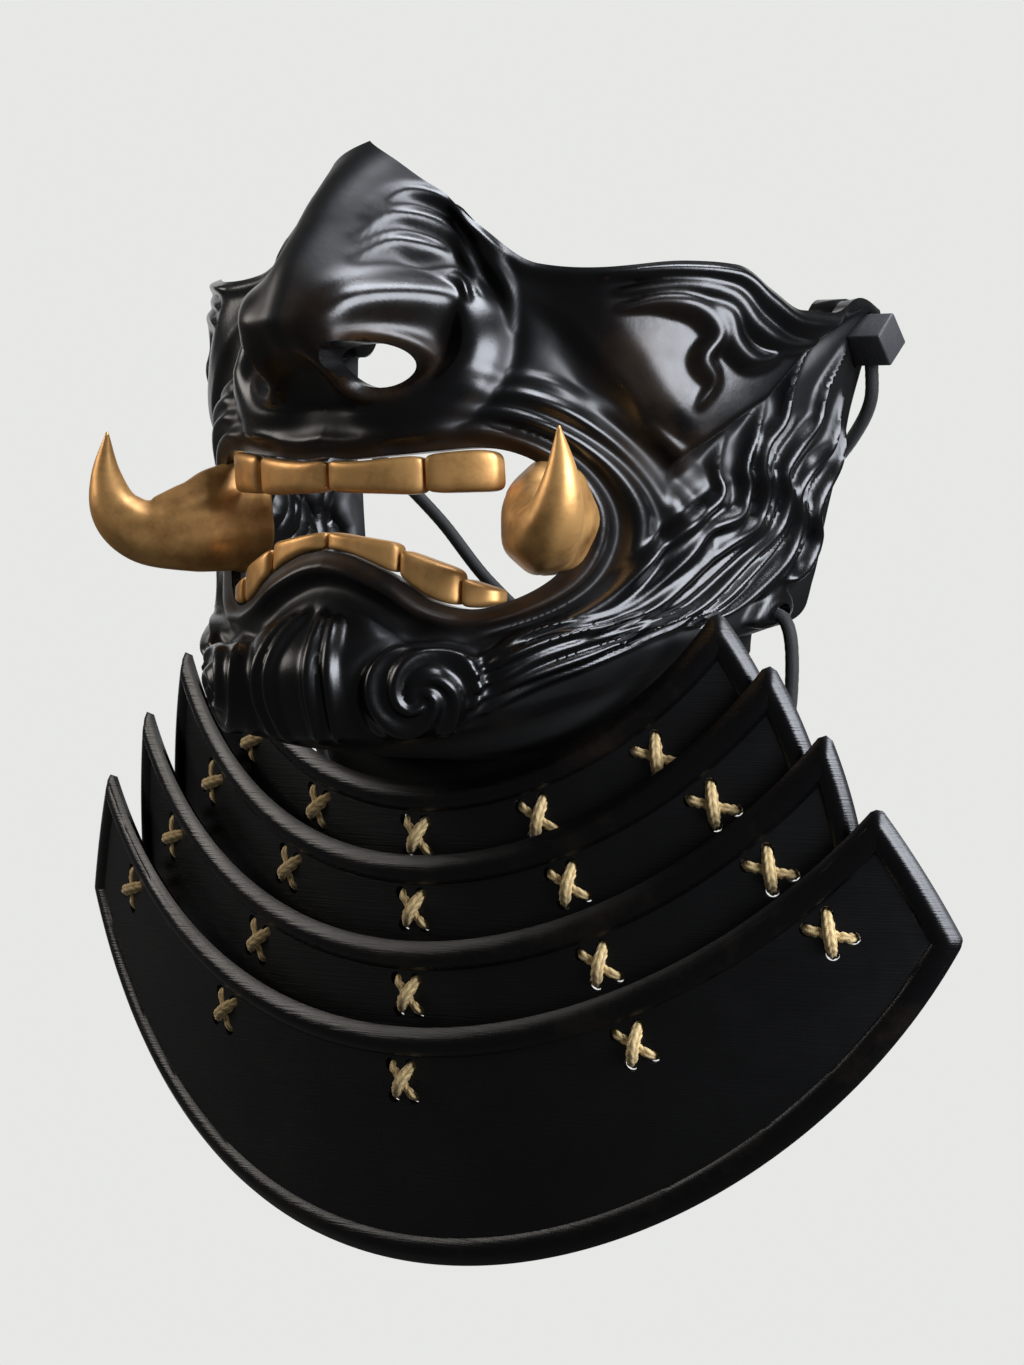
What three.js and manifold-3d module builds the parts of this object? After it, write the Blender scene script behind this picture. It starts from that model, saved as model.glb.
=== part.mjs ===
// Samurai face guard: a lacquered half mask with gilded teeth and tusks, and a
// throat guard of four laced lames. Millimetres, +Z up, the face looks along -Y,
// +X is the wearer's left. The origin is midway between the two cord posts.
import * as THREE from 'three';
import { mergeVertices } from 'three/addons/utils/BufferGeometryUtils.js';
import Module from 'manifold-3d';

const wasm = await Module();
wasm.setup();

// ---------------------------------------------------------------- dimensions
// The face is laid out from the foot of the nose, so every height below is
// measured from there and the finished group is moved back once.
const POST_HEIGHT = 18;
const POST_DEPTH = 135;
const GAP = 0.35;
const TOUCH = 0.004;

// One row for each level of the face: where its front stands, how far it is
// to the side, and how deep it runs back to the ear.
const FACE_ROWS = [
  { level: 70, front: 32, half: 95, depth: 102 },
  { level: 45, front: 32, half: 96, depth: 102 },
  { level: 25, front: 27, half: 96, depth: 104 },
  { level: 5, front: 18, half: 93, depth: 108 },
  { level: -12, front: 11, half: 90, depth: 112 },
  { level: -40, front: 13, half: 85, depth: 108 },
  { level: -64, front: 12, half: 81, depth: 107 },
  { level: -82, front: 3, half: 78, depth: 110 },
  { level: -96, front: 6, half: 74, depth: 106 },
  { level: -101, front: 13, half: 71, depth: 96 },
  { level: -104, front: 34, half: 70, depth: 72 },
  { level: -107, front: 65, half: 72, depth: 46 },
  { level: -124, front: 68.5, half: 70, depth: 46 },
];
// The top edge, from the nose round to the ear, by angle from the front.
const TOP_EDGE = [
  { angle: 0, level: 65 },
  { angle: 6, level: 59.5 },
  { angle: 12, level: 51 },
  { angle: 20, level: 40 },
  { angle: 30, level: 30 },
  { angle: 40, level: 27.5 },
  { angle: 52, level: 29.5 },
  { angle: 60, level: 29 },
  { angle: 66, level: 23.5 },
  { angle: 73, level: 18.5 },
  { angle: 80, level: 18.5 },
  { angle: 90, level: 23 },
  { angle: 97, level: 20 },
];
// The bridge of the nose: how far it stands out, and its half width.
const NOSE_ROWS = [
  { level: -9, reach: 0, half: 26 },
  { level: 0, reach: 13, half: 27 },
  { level: 6, reach: 28, half: 28 },
  { level: 14, reach: 36.5, half: 27 },
  { level: 22, reach: 37, half: 27 },
  { level: 41, reach: 29.5, half: 24 },
  { level: 53, reach: 19, half: 21 },
  { level: 66, reach: 3, half: 18 },
];
const REAR_ANGLE = 97;
const BOTTOM_LEVEL = -124;
const JAW_RISE_FROM = -58;
const JAW_RISE = 46;
// The face tips back: each level climbs by this share of its depth.
const FACE_PITCH = 0.05;
const WALL = 3.4;
const RIB_SUNK = 0.65;
const RIB_ROOT = 0.8;
const NOSTRIL = { x: 19, z: 3, halfWidth: 7, halfHeight: 6 };
const NOSTRIL_WING = { x: 22, z: 6, radius: 16.5, height: 5.5, spread: 6 };

// Half of the mouth's outline seen from the front, from the top middle down.
const MOUTH_OUTLINE = [
  { x: 0, z: -21.5 },
  { x: 10, z: -22 },
  { x: 29, z: -20 },
  { x: 43, z: -17 },
  { x: 54, z: -17.5 },
  { x: 62, z: -22.5 },
  { x: 65.5, z: -31 },
  { x: 65.5, z: -42 },
  { x: 61.5, z: -52 },
  { x: 52.5, z: -59 },
  { x: 41, z: -62.5 },
  { x: 31, z: -60 },
  { x: 22, z: -54 },
  { x: 9, z: -48.5 },
  { x: 0, z: -47 },
];
const BEARD = { locks: 5, from: 38, sweep: 51, start: -66, climb: 72, spacing: 4.2, wave: 2.6, width: 3.2, height: 2.8 };
const LIP = { width: 2.6, height: 2.4 };
const UPPER_TEETH = [
  { from: 0, to: 28.5, biteLeft: -31, biteRight: -31.5 },
  { from: 28.5, to: 46, biteLeft: -31, biteRight: -30 },
];
const LOWER_TEETH = [
  { from: 0, to: 22, biteLeft: -41.5, biteRight: -44.5 },
  { from: 22, to: 37.5, biteLeft: -46, biteRight: -51.5 },
  { from: 37.5, to: 46, biteLeft: -53.5, biteRight: -56.5 },
];
const TOOTH = { proud: 0.8, deep: 5.5, notch: 0.7, corner: 1.8, join: 0.4 };

// The tusk leaves the corner of the mouth, runs out and forward, then turns up.
const TUSK_STATIONS = [
  { x: 53, y: 45, z: -36.5, wide: 10.5, tall: 15.5 },
  { x: 56.5, y: 38, z: -37.5, wide: 11, tall: 15 },
  { x: 61.5, y: 28.5, z: -40, wide: 11, tall: 13 },
  { x: 70, y: 19, z: -41.5, wide: 9.2, tall: 9.2 },
  { x: 76.5, y: 14, z: -36, wide: 7.3, tall: 7.3 },
  { x: 79, y: 12, z: -26, wide: 4.4, tall: 4.4 },
  { x: 78.4, y: 11.2, z: -13.8, wide: 0.6, tall: 0.6 },
];

const POST = { width: 10.8, length: 14, turn: 0.75, from: 90.5 };
const LUG = { radius: 6.5, length: 11 };
const LOWER_HOLE = { angle: 88, level: -69, radius: 3.2 };

// The throat guard: concentric lames about one point, seen from the front.
const LAME_CENTRE = -11;
const LAME_WALL = 2.4;
const LAME_LEAN = 0.2;
const LAME_RIM = { width: 4.6, height: 1.7 };
const LAMES = [
  { top: 100.5, bottom: 140, bottomEnd: 136, tip: 59.4, taper: 0.3, front: 57.5, bend: 195 },
  { top: 121, bottom: 163, bottomEnd: 156, tip: 57.5, taper: 0.3, front: 56.5, bend: 228 },
  { top: 145, bottom: 187, bottomEnd: 178, tip: 55, taper: 0.3, front: 55.3, bend: 264 },
  { top: 169, bottom: 233, bottomEnd: 204, tip: 52.7, taper: 0.135, front: 54, bend: 300 },
];
const LACE_ROWS = [
  { inner: 19.7, outer: 38.3 },
  { inner: 21.2, outer: 40.6 },
  { inner: 22.1, outer: 41.3 },
  { inner: 23.1, outer: 42.1 },
];
const LACE = { below: 13.5, radius: 1.65, across: 6.4, along: 8.4, hole: 2.4, behind: 1 };

// Elastic cords, each hung slack between two ends.
const STRAP_RADIUS = 2;
const HEAD_STRAP = [
  { x: 97, y: 137, z: 9.6 },
  { x: 95, y: 139.5, z: 1 },
  { x: 88, y: 142, z: -9 },
  { x: 77, y: 145, z: -19 },
  { x: 62, y: 148, z: -33 },
  { x: 45, y: 150, z: -51 },
  { x: 24, y: 151.5, z: -66 },
  { x: 0, y: 152, z: -72 },
];
const NECK_STRAP = [
  { x: 76, y: 113, z: -60.5 },
  { x: 84.5, y: 113.5, z: -61.5 },
  { x: 87, y: 114.5, z: -72 },
  { x: 85, y: 116, z: -92 },
  { x: 77, y: 118, z: -112 },
  { x: 61, y: 120, z: -129 },
  { x: 42, y: 121, z: -140 },
  { x: 21, y: 122, z: -146 },
  { x: 0, y: 122, z: -148 },
];

// ---------------------------------------------------------------- materials
const lacquer = new THREE.MeshStandardMaterial({ color: '#101012', roughness: 0.3, metalness: 0.1 });
const gilding = new THREE.MeshStandardMaterial({ color: '#b8863c', roughness: 0.4, metalness: 0.8 });
const lameBlack = new THREE.MeshStandardMaterial({ color: '#151517', roughness: 0.5, metalness: 0.1 });
const laceGold = new THREE.MeshStandardMaterial({ color: '#cba55e', roughness: 0.9, metalness: 0 });
const elastic = new THREE.MeshStandardMaterial({ color: '#0c0c0c', roughness: 0.85, metalness: 0 });
const postPlastic = new THREE.MeshStandardMaterial({ color: '#2a2a2c', roughness: 0.6, metalness: 0 });

// ---------------------------------------------------------------- helpers
const radians = THREE.MathUtils.degToRad;
const clamp = THREE.MathUtils.clamp;

function smooth(value, low, high) {
  return THREE.MathUtils.smoothstep(value, low, high);
}

// Reads a column of a table at a value of its key column, on a smooth curve
// that never swings past its rows.
function readTable(rows, key, column, value) {
  const rising = rows[0][key] < rows[rows.length - 1][key];
  const ordered = rising ? rows : [...rows].reverse();
  const last = ordered.length - 1;
  const at = clamp(value, ordered[0][key], ordered[last][key]);
  let k = 0;
  while (k < last - 1 && ordered[k + 1][key] < at) k += 1;
  const slope = (i) => (ordered[i + 1][column] - ordered[i][column]) / (ordered[i + 1][key] - ordered[i][key]);
  const tangent = (i) => {
    if (i === 0) return slope(0);
    if (i === last) return slope(last - 1);
    const before = slope(i - 1);
    const after = slope(i);
    return before * after <= 0 ? 0 : (2 * before * after) / (before + after);
  };
  const span = ordered[k + 1][key] - ordered[k][key];
  const t = (at - ordered[k][key]) / span;
  const a = ordered[k][column];
  const b = ordered[k + 1][column];
  return a + (b - a) * t * t * (3 - 2 * t)
    + span * t * (1 - t) * (tangent(k) * (1 - t) - tangent(k + 1) * t);
}

function closedSolid(geometry) {
  const bare = geometry.clone();
  bare.deleteAttribute('normal');
  bare.deleteAttribute('uv');
  const merged = mergeVertices(bare, 1e-4);
  const index = merged.index.array;
  const kept = [];
  for (let i = 0; i < index.length; i += 3) {
    const corners = [index[i], index[i + 1], index[i + 2]];
    if (new Set(corners).size === 3) kept.push(...corners);
  }
  const build = (triangles) => new wasm.Manifold(new wasm.Mesh({
    numProp: 3,
    vertProperties: new Float32Array(merged.attributes.position.array),
    triVerts: new Uint32Array(triangles),
  }));
  const solid = build(kept);
  if (solid.volume() > 0) return solid;
  const turned = [];
  for (let i = 0; i < kept.length; i += 3) turned.push(kept[i], kept[i + 2], kept[i + 1]);
  return build(turned);
}

// The finished mesh of a solid. Where two sheets of it touch at one point, the
// second vertex there is drawn a little towards its neighbours, so that the
// surface stays a simple closed one.
function geometryOf(solid) {
  const mesh = solid.getMesh();
  const places = Float32Array.from(mesh.vertProperties);
  const corners = mesh.triVerts;
  const placeOf = (v) => new THREE.Vector3(places[3 * v], places[3 * v + 1], places[3 * v + 2]);
  const around = new Map();
  for (let i = 0; i < corners.length; i += 1) {
    const next = i % 3 === 2 ? corners[i - 2] : corners[i + 1];
    if (!around.has(corners[i])) around.set(corners[i], []);
    around.get(corners[i]).push(next);
  }
  const taken = new Set();
  const cellOf = (point) => point.toArray().map((c) => Math.round(c / TOUCH)).join();
  for (let v = 0; v < places.length / 3; v += 1) {
    const point = placeOf(v);
    const middle = new THREE.Vector3();
    (around.get(v) || []).forEach((n) => middle.addScaledVector(placeOf(n), 1 / around.get(v).length));
    const pull = middle.sub(point).normalize().multiplyScalar(3 * TOUCH);
    while (taken.has(cellOf(point))) point.add(pull);
    taken.add(cellOf(point));
    point.toArray(places, 3 * v);
  }
  const geometry = new THREE.BufferGeometry();
  geometry.setAttribute('position', new THREE.BufferAttribute(places, 3));
  geometry.setIndex(new THREE.BufferAttribute(corners, 1));
  geometry.computeVertexNormals();
  return geometry;
}

function unite(solids) {
  return solids.reduce((sum, solid) => sum.add(solid));
}

// A closed wall between two skins over one grid. The inner skin has stations
// only at the columns and rows that are listed for it.
function wallSolid({ columns, rows, innerColumns, innerRows, outer, inner }) {
  const points = [];
  const triangles = [];
  const outerAt = (i, j) => i * (rows + 1) + j;
  const start = (columns + 1) * (rows + 1);
  const innerAt = (m, n) => start + m * innerRows.length + n;
  for (let i = 0; i <= columns; i += 1) {
    for (let j = 0; j <= rows; j += 1) points.push(outer(i, j));
  }
  innerColumns.forEach((i) => innerRows.forEach((j) => points.push(inner(i, j))));
  for (let i = 0; i < columns; i += 1) {
    for (let j = 0; j < rows; j += 1) {
      triangles.push(outerAt(i, j), outerAt(i + 1, j), outerAt(i + 1, j + 1));
      triangles.push(outerAt(i, j), outerAt(i + 1, j + 1), outerAt(i, j + 1));
    }
  }
  for (let m = 0; m < innerColumns.length - 1; m += 1) {
    for (let n = 0; n < innerRows.length - 1; n += 1) {
      triangles.push(innerAt(m, n), innerAt(m + 1, n + 1), innerAt(m + 1, n));
      triangles.push(innerAt(m, n), innerAt(m, n + 1), innerAt(m + 1, n + 1));
    }
  }
  const closeEdge = (stations, outerOn, innerOn, flip) => {
    const push = (a, b, c) => (flip ? triangles.push(a, c, b) : triangles.push(a, b, c));
    for (let m = 0; m < stations.length - 1; m += 1) {
      const [from, to] = [stations[m], stations[m + 1]];
      const turn = Math.floor((from + to) / 2);
      for (let k = from; k < turn; k += 1) push(innerOn(m), outerOn(k + 1), outerOn(k));
      push(innerOn(m), innerOn(m + 1), outerOn(turn));
      for (let k = turn; k < to; k += 1) push(innerOn(m + 1), outerOn(k + 1), outerOn(k));
    }
  };
  const lastRow = innerRows.length - 1;
  const lastColumn = innerColumns.length - 1;
  closeEdge(innerColumns, (k) => outerAt(k, 0), (m) => innerAt(m, 0), false);
  closeEdge(innerColumns, (k) => outerAt(k, rows), (m) => innerAt(m, lastRow), true);
  closeEdge(innerRows, (k) => outerAt(0, k), (n) => innerAt(0, n), true);
  closeEdge(innerRows, (k) => outerAt(columns, k), (n) => innerAt(lastColumn, n), false);
  const geometry = new THREE.BufferGeometry();
  geometry.setAttribute('position', new THREE.Float32BufferAttribute(points.flatMap((p) => p.toArray()), 3));
  geometry.setIndex(triangles);
  return closedSolid(geometry);
}

function everySecond(count) {
  return Array.from({ length: count / 2 + 1 }, (_, k) => 2 * k);
}

// A spindle turned on a lathe and bent along stations, each with a centre, a
// side and a rise direction, a half width along each, and, where its underside
// is flatter, how far that is sunk.
function bentSpindle(stations, sides) {
  const profile = [new THREE.Vector2(0, 0)];
  stations.forEach((station, i) => profile.push(new THREE.Vector2(1, i)));
  profile.push(new THREE.Vector2(0, stations.length - 1));
  const geometry = new THREE.LatheGeometry(profile, sides);
  const position = geometry.attributes.position;
  for (let i = 0; i < position.count; i += 1) {
    const station = stations[Math.round(position.getY(i))];
    const above = position.getZ(i);
    const tall = above < 0 && station.sunk !== undefined ? station.sunk : station.tall;
    const point = station.centre.clone()
      .addScaledVector(station.side, position.getX(i) * station.wide)
      .addScaledVector(station.rise, above * tall);
    position.setXYZ(i, point.x, point.y, point.z);
  }
  return closedSolid(geometry);
}

// A prism with a front-view outline, cut from y = near to y = far.
function frontPrism(outline, near, far) {
  const shape = new THREE.Shape(outline.map((p) => new THREE.Vector2(p.x, p.z)));
  const geometry = new THREE.ExtrudeGeometry(shape, { depth: far - near, bevelEnabled: false });
  geometry.rotateX(Math.PI / 2);
  geometry.translate(0, far, 0);
  return closedSolid(geometry);
}

function mirrored(solid) {
  return solid.mirror([1, 0, 0]);
}

function onBothSides(solid) {
  return solid.add(mirrored(solid));
}

// ---------------------------------------------------------------- the face
function noseReach(x, z) {
  const reach = z > NOSE_ROWS[0].level ? readTable(NOSE_ROWS, 'level', 'reach', z) : 0;
  const half = readTable(NOSE_ROWS, 'level', 'half', z);
  const across = clamp(Math.abs(x) / half, 0, 1);
  return reach * (1 - across * across) ** 1.6;
}

function plainFace(angle, level) {
  const turn = radians(angle);
  const front = readTable(FACE_ROWS, 'level', 'front', level);
  const half = readTable(FACE_ROWS, 'level', 'half', level);
  const depth = readTable(FACE_ROWS, 'level', 'depth', level);
  const back = 1 - Math.cos(turn);
  const rise = JAW_RISE * smooth(JAW_RISE_FROM - level, 0, JAW_RISE_FROM - BOTTOM_LEVEL + 2);
  const x = half * Math.sin(turn);
  const z = level + (rise * back) / (1 - Math.cos(radians(95)));
  const y = front + depth * back;
  return new THREE.Vector3(x, y - noseReach(x, z), z + FACE_PITCH * y);
}

function faceNormal(angle, level) {
  const across = plainFace(angle + 1, level).sub(plainFace(angle - 1, level));
  const up = plainFace(angle, level + 1).sub(plainFace(angle, level - 1));
  return across.cross(up).normalize();
}

function facePoint(angle, level, height) {
  return plainFace(angle, level).addScaledVector(faceNormal(angle, level), height);
}

function hump(distance, spread) {
  return Math.exp(-((distance / spread) ** 2));
}

// Broad modelling of the face: nostril wings, cheeks, the fold beside the
// mouth and the chin. Fine curls are swept ribs, added afterwards.
function relief(angle, level) {
  const side = Math.abs(angle);
  const point = plainFace(side, level);
  const fromWing = Math.hypot(point.x - NOSTRIL_WING.x, point.z - NOSTRIL_WING.z);
  const wing = NOSTRIL_WING.height * hump(fromWing - NOSTRIL_WING.radius, NOSTRIL_WING.spread);
  const foldLevel = 25 - 1.36 * (side - 23.5);
  const aboveFold = smooth(level - foldLevel, -1, 5) * smooth(side, 30, 46);
  const beardLevel = -24.5 + 1.55 * (side - 60);
  const aboveBeard = smooth(level - beardLevel, -1, 5);
  const cheek = 5.5 * aboveFold * aboveBeard * hump(side - 60, 26);
  const aboveThroat = smooth(level, -102, -96);
  const chin = 5 * hump(Math.hypot(side * 0.9, level + 82), 20);
  const curlPad = 3 * hump(Math.hypot(side - 24, (level + 88) * 0.9), 14);
  return wing + cheek + (chin + curlPad) * aboveThroat;
}

function faceWall() {
  const columns = 36;
  const rows = 18;
  const angleAt = (i) => {
    const t = (2 * i) / columns - 1;
    return REAR_ANGLE * (0.72 * t + 0.28 * t ** 3);
  };
  const levelAt = (i, j) => {
    const top = readTable(TOP_EDGE, 'angle', 'level', Math.abs(angleAt(i)));
    return top + ((BOTTOM_LEVEL - top) * j) / rows;
  };
  return wallSolid({
    columns,
    rows,
    innerColumns: everySecond(columns),
    innerRows: everySecond(rows),
    outer: (i, j) => facePoint(angleAt(i), levelAt(i, j), relief(angleAt(i), levelAt(i, j))),
    inner: (i, j) => facePoint(angleAt(i), levelAt(i, j), -WALL),
  });
}

// A raised rib along points given as angle and level, thickest in its middle.
function faceRib(path, width, height, steps, sides = 4) {
  const curve = new THREE.CatmullRomCurve3(path.map((p) => new THREE.Vector3(p.angle, p.level, 0)));
  const stations = [];
  for (let i = 0; i <= steps; i += 1) {
    const t = i / steps;
    const at = curve.getPoint(t);
    const ahead = curve.getPoint(Math.min(t + 0.01, 1)).sub(curve.getPoint(Math.max(t - 0.01, 0)));
    const centre = facePoint(at.x, at.y, relief(at.x, at.y) - RIB_SUNK);
    const next = facePoint(at.x + ahead.x, at.y + ahead.y, relief(at.x, at.y) - RIB_SUNK);
    const rise = faceNormal(at.x, at.y);
    const side = next.sub(centre).cross(rise).normalize();
    const swell = 0.25 + 0.75 * Math.sin(Math.PI * clamp(0.06 + 0.88 * t, 0, 1)) ** 0.7;
    stations.push({ centre, side, rise, wide: width * swell, tall: height * swell, sunk: RIB_ROOT });
  }
  return bentSpindle(stations, sides);
}

function mirrorPath(path) {
  return path.map((p) => ({ angle: -p.angle, level: p.level }));
}

function ribOnBothSides(path, width, height, steps, sides) {
  return [faceRib(path, width, height, steps, sides), faceRib(mirrorPath(path), width, height, steps, sides)];
}

// The beard: locks that leave the chin and wave up the jaw to the ear.
function beardLocks() {
  const locks = [];
  for (let k = 0; k < BEARD.locks; k += 1) {
    const path = [];
    for (let s = 0; s <= 6; s += 1) {
      const t = s / 6;
      const angle = BEARD.from + 2.8 * k + (BEARD.sweep - 1.6 * k) * t;
      const spine = BEARD.start - BEARD.spacing * k * (1 + t) + BEARD.climb * t ** 1.35;
      path.push({ angle, level: spine + BEARD.wave * Math.sin(Math.PI * (2.6 * t + k * 0.35)) });
    }
    locks.push(...ribOnBothSides(path, BEARD.width, BEARD.height, 7));
  }
  return locks;
}

// A curl at each side of the chin: a rib wound into its middle.
function chinCurls() {
  const path = [];
  const turns = 1.6;
  for (let s = 0; s <= 12; s += 1) {
    const t = s / 12;
    const reach = 14.5 * (1 - t) ** 0.8 + 1.5;
    const turn = Math.PI * (0.5 - 2 * turns * t);
    path.push({ angle: 24 + reach * 0.85 * Math.cos(turn), level: -90 + reach * Math.sin(turn) });
  }
  return ribOnBothSides(path, 2.6, 3, 12);
}

// Furrows that fan over the side of the nose.
function noseFurrows() {
  const ribs = [];
  for (let k = 0; k < 3; k += 1) {
    const reach = 8 + 5.4 * k;
    const path = [];
    for (let s = 0; s <= 4; s += 1) {
      const turn = Math.PI * (0.78 - 0.24 * s);
      path.push({ angle: 13 + reach * 0.5 * Math.cos(turn), level: 27 + reach * 0.92 * Math.sin(turn) });
    }
    ribs.push(...ribOnBothSides(path, 1.6, 1.8, 5));
  }
  return ribs;
}

function cheekFurrows() {
  const upper = [
    { angle: 42, level: 23 },
    { angle: 51, level: 20 },
    { angle: 60, level: 14 },
    { angle: 63, level: 5 },
  ];
  const brow = [
    { angle: 50, level: 27 },
    { angle: 62, level: 23 },
    { angle: 74, level: 11 },
    { angle: 84, level: 13 },
  ];
  return [...ribOnBothSides(upper, 2, 2, 5), ...ribOnBothSides(brow, 2, 2.2, 6)];
}

// The angle and level of a front-view point of the face.
function angleOfX(x, level) {
  return THREE.MathUtils.radToDeg(Math.asin(clamp(x / readTable(FACE_ROWS, 'level', 'half', level), -1, 1)));
}

function lipRibs() {
  const path = (points, rise) => points.map((p) => {
    const angle = angleOfX(p.x, p.z);
    return { angle, level: p.z + rise - FACE_PITCH * plainFace(angle, p.z).y };
  });
  const other = MOUTH_OUTLINE.slice(1, -1).map((p) => ({ x: -p.x, z: p.z }));
  const full = [...other, ...MOUTH_OUTLINE];
  const cut = (keep) => full.filter(keep).sort((a, b) => a.x - b.x);
  const upper = cut((p) => p.z > -31);
  const lower = cut((p) => p.z < -41);
  return [faceRib(path(upper, 2.4), LIP.width, LIP.height, 12), faceRib(path(lower, -2.6), LIP.width, LIP.height, 12)];
}

function mouthOpening() {
  const half = MOUTH_OUTLINE.map((p) => ({ x: p.x, z: p.z }));
  const other = MOUTH_OUTLINE.slice(1, -1).reverse().map((p) => ({ x: -p.x, z: p.z }));
  return frontPrism([...half, ...other], -60, 80);
}

function nostril() {
  const outline = [];
  for (let i = 0; i < 12; i += 1) {
    const turn = (i / 12) * Math.PI * 2;
    outline.push({
      x: NOSTRIL.x + NOSTRIL.halfWidth * Math.cos(turn),
      z: NOSTRIL.z + NOSTRIL.halfHeight * Math.sin(turn),
    });
  }
  return frontPrism(outline, -60, 60);
}

// The rolled ear lug that carries the cord post.
function earLug() {
  const geometry = new THREE.CylinderGeometry(LUG.radius, LUG.radius, LUG.length, 10);
  geometry.rotateZ(Math.PI / 2);
  geometry.translate(POST.from - LUG.length / 2 + 1.5, POST_DEPTH - 3, POST_HEIGHT + 5);
  return closedSolid(geometry);
}

function postBlock(extra) {
  const geometry = new THREE.BoxGeometry(POST.length + extra * 2, POST.width + extra * 2, POST.width + extra * 2);
  geometry.rotateX(POST.turn);
  geometry.translate(POST.from + POST.length / 2, POST_DEPTH, POST_HEIGHT);
  return geometry;
}

function lowerHole() {
  const geometry = new THREE.CylinderGeometry(LOWER_HOLE.radius, LOWER_HOLE.radius, 30, 10);
  geometry.rotateZ(Math.PI / 2);
  const at = plainFace(LOWER_HOLE.angle, LOWER_HOLE.level);
  geometry.translate(at.x, at.y, at.z);
  return closedSolid(geometry);
}

function makeMask() {
  const raised = [...beardLocks(), ...chinCurls(), ...noseFurrows(), ...cheekFurrows(), ...lipRibs()];
  const body = unite([faceWall(), ...raised, onBothSides(earLug())]);
  const cuts = unite([
    mouthOpening(),
    onBothSides(nostril()),
    onBothSides(lowerHole()),
    onBothSides(closedSolid(postBlock(GAP))),
    onBothSides(tuskSolid(GAP + 0.3)),
  ]);
  return body.subtract(cuts);
}

// ---------------------------------------------------------------- teeth
function faceBand(proud, deep) {
  const columns = 16;
  const rows = 2;
  const angleAt = (i) => -50 + (100 * i) / columns;
  const levelAt = (j) => -8 - (62 * j) / rows;
  return wallSolid({
    columns,
    rows,
    innerColumns: everySecond(columns),
    innerRows: everySecond(rows),
    outer: (i, j) => facePoint(angleAt(i), levelAt(j), proud),
    inner: (i, j) => facePoint(angleAt(i), levelAt(j), -deep),
  });
}

// The mouth's edge above or below the bite, between two places across it.
function mouthEdge(from, to, upper) {
  const side = MOUTH_OUTLINE.filter((p) => (upper ? p.z > -20.5 || p.x < 30 : p.z < -45) && (p.z > -32) === upper);
  const ordered = [...side].sort((p, q) => p.x - q.x);
  const heightAt = (x) => {
    const k = clamp(ordered.findIndex((p) => p.x > Math.abs(x)), 1, ordered.length - 1);
    const t = (Math.abs(x) - ordered[k - 1].x) / (ordered[k].x - ordered[k - 1].x);
    return ordered[k - 1].z + t * (ordered[k].z - ordered[k - 1].z);
  };
  const inner = ordered.map((p) => p.x).filter((x) => x > from && x < to && x > 0);
  return [from, ...inner, to].map((x) => ({ x, z: heightAt(x) }));
}

// One row of teeth, joined at their roots and notched apart at the bite.
function toothRow(teeth, upper) {
  const away = upper ? 1 : -1;
  const prisms = teeth.map((tooth) => {
    const left = tooth.from - TOOTH.join;
    const right = tooth.to + TOOTH.join;
    const root = mouthEdge(left, right, upper).map((p) => ({ x: p.x, z: p.z - away * (GAP + 0.1) }));
    return frontPrism([
      ...root,
      { x: right, z: tooth.biteRight + away * TOOTH.corner * 1.6 },
      { x: tooth.to - TOOTH.notch, z: tooth.biteRight + away * TOOTH.corner },
      { x: tooth.to - TOOTH.notch * 3, z: tooth.biteRight },
      { x: tooth.from + TOOTH.notch * 3, z: tooth.biteLeft },
      { x: tooth.from + TOOTH.notch, z: tooth.biteLeft + away * TOOTH.corner },
      { x: left, z: tooth.biteLeft + away * TOOTH.corner * 1.6 },
    ], -30, 70);
  });
  return onBothSides(unite(prisms)).intersect(faceBand(TOOTH.proud, TOOTH.deep));
}

// ---------------------------------------------------------------- tusks
function tuskSolid(extra) {
  const centres = TUSK_STATIONS.map((s) => new THREE.Vector3(s.x, s.y, s.z));
  const stations = TUSK_STATIONS.map((station, i) => {
    const before = centres[Math.max(i - 1, 0)];
    const after = centres[Math.min(i + 1, centres.length - 1)];
    const along = after.clone().sub(before).normalize();
    const side = new THREE.Vector3(0.809, 0.588, 0).addScaledVector(along, -along.dot(new THREE.Vector3(0.809, 0.588, 0)));
    side.normalize();
    const rise = side.clone().cross(along).normalize();
    return { centre: centres[i], side, rise, wide: station.wide + extra, tall: station.tall + extra };
  });
  return bentSpindle(stations, 12);
}

// ---------------------------------------------------------------- lames
function lameAt(lame, angle, radius, height) {
  const place = (a, r) => {
    const x = r * Math.sin(radians(a));
    const y = lame.front + (x * x) / (2 * lame.bend) + LAME_LEAN * (r - lame.top);
    return new THREE.Vector3(x, y, LAME_CENTRE - r * Math.cos(radians(a)));
  };
  const across = place(angle + 0.5, radius).sub(place(angle - 0.5, radius));
  const down = place(angle, radius + 0.5).sub(place(angle, radius - 0.5));
  const normal = down.cross(across).normalize();
  return { point: place(angle, radius).addScaledVector(normal, height), normal, across: across.normalize() };
}

function lameEnd(lame, radius) {
  return lame.tip - lame.taper * (radius - lame.top);
}

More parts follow.
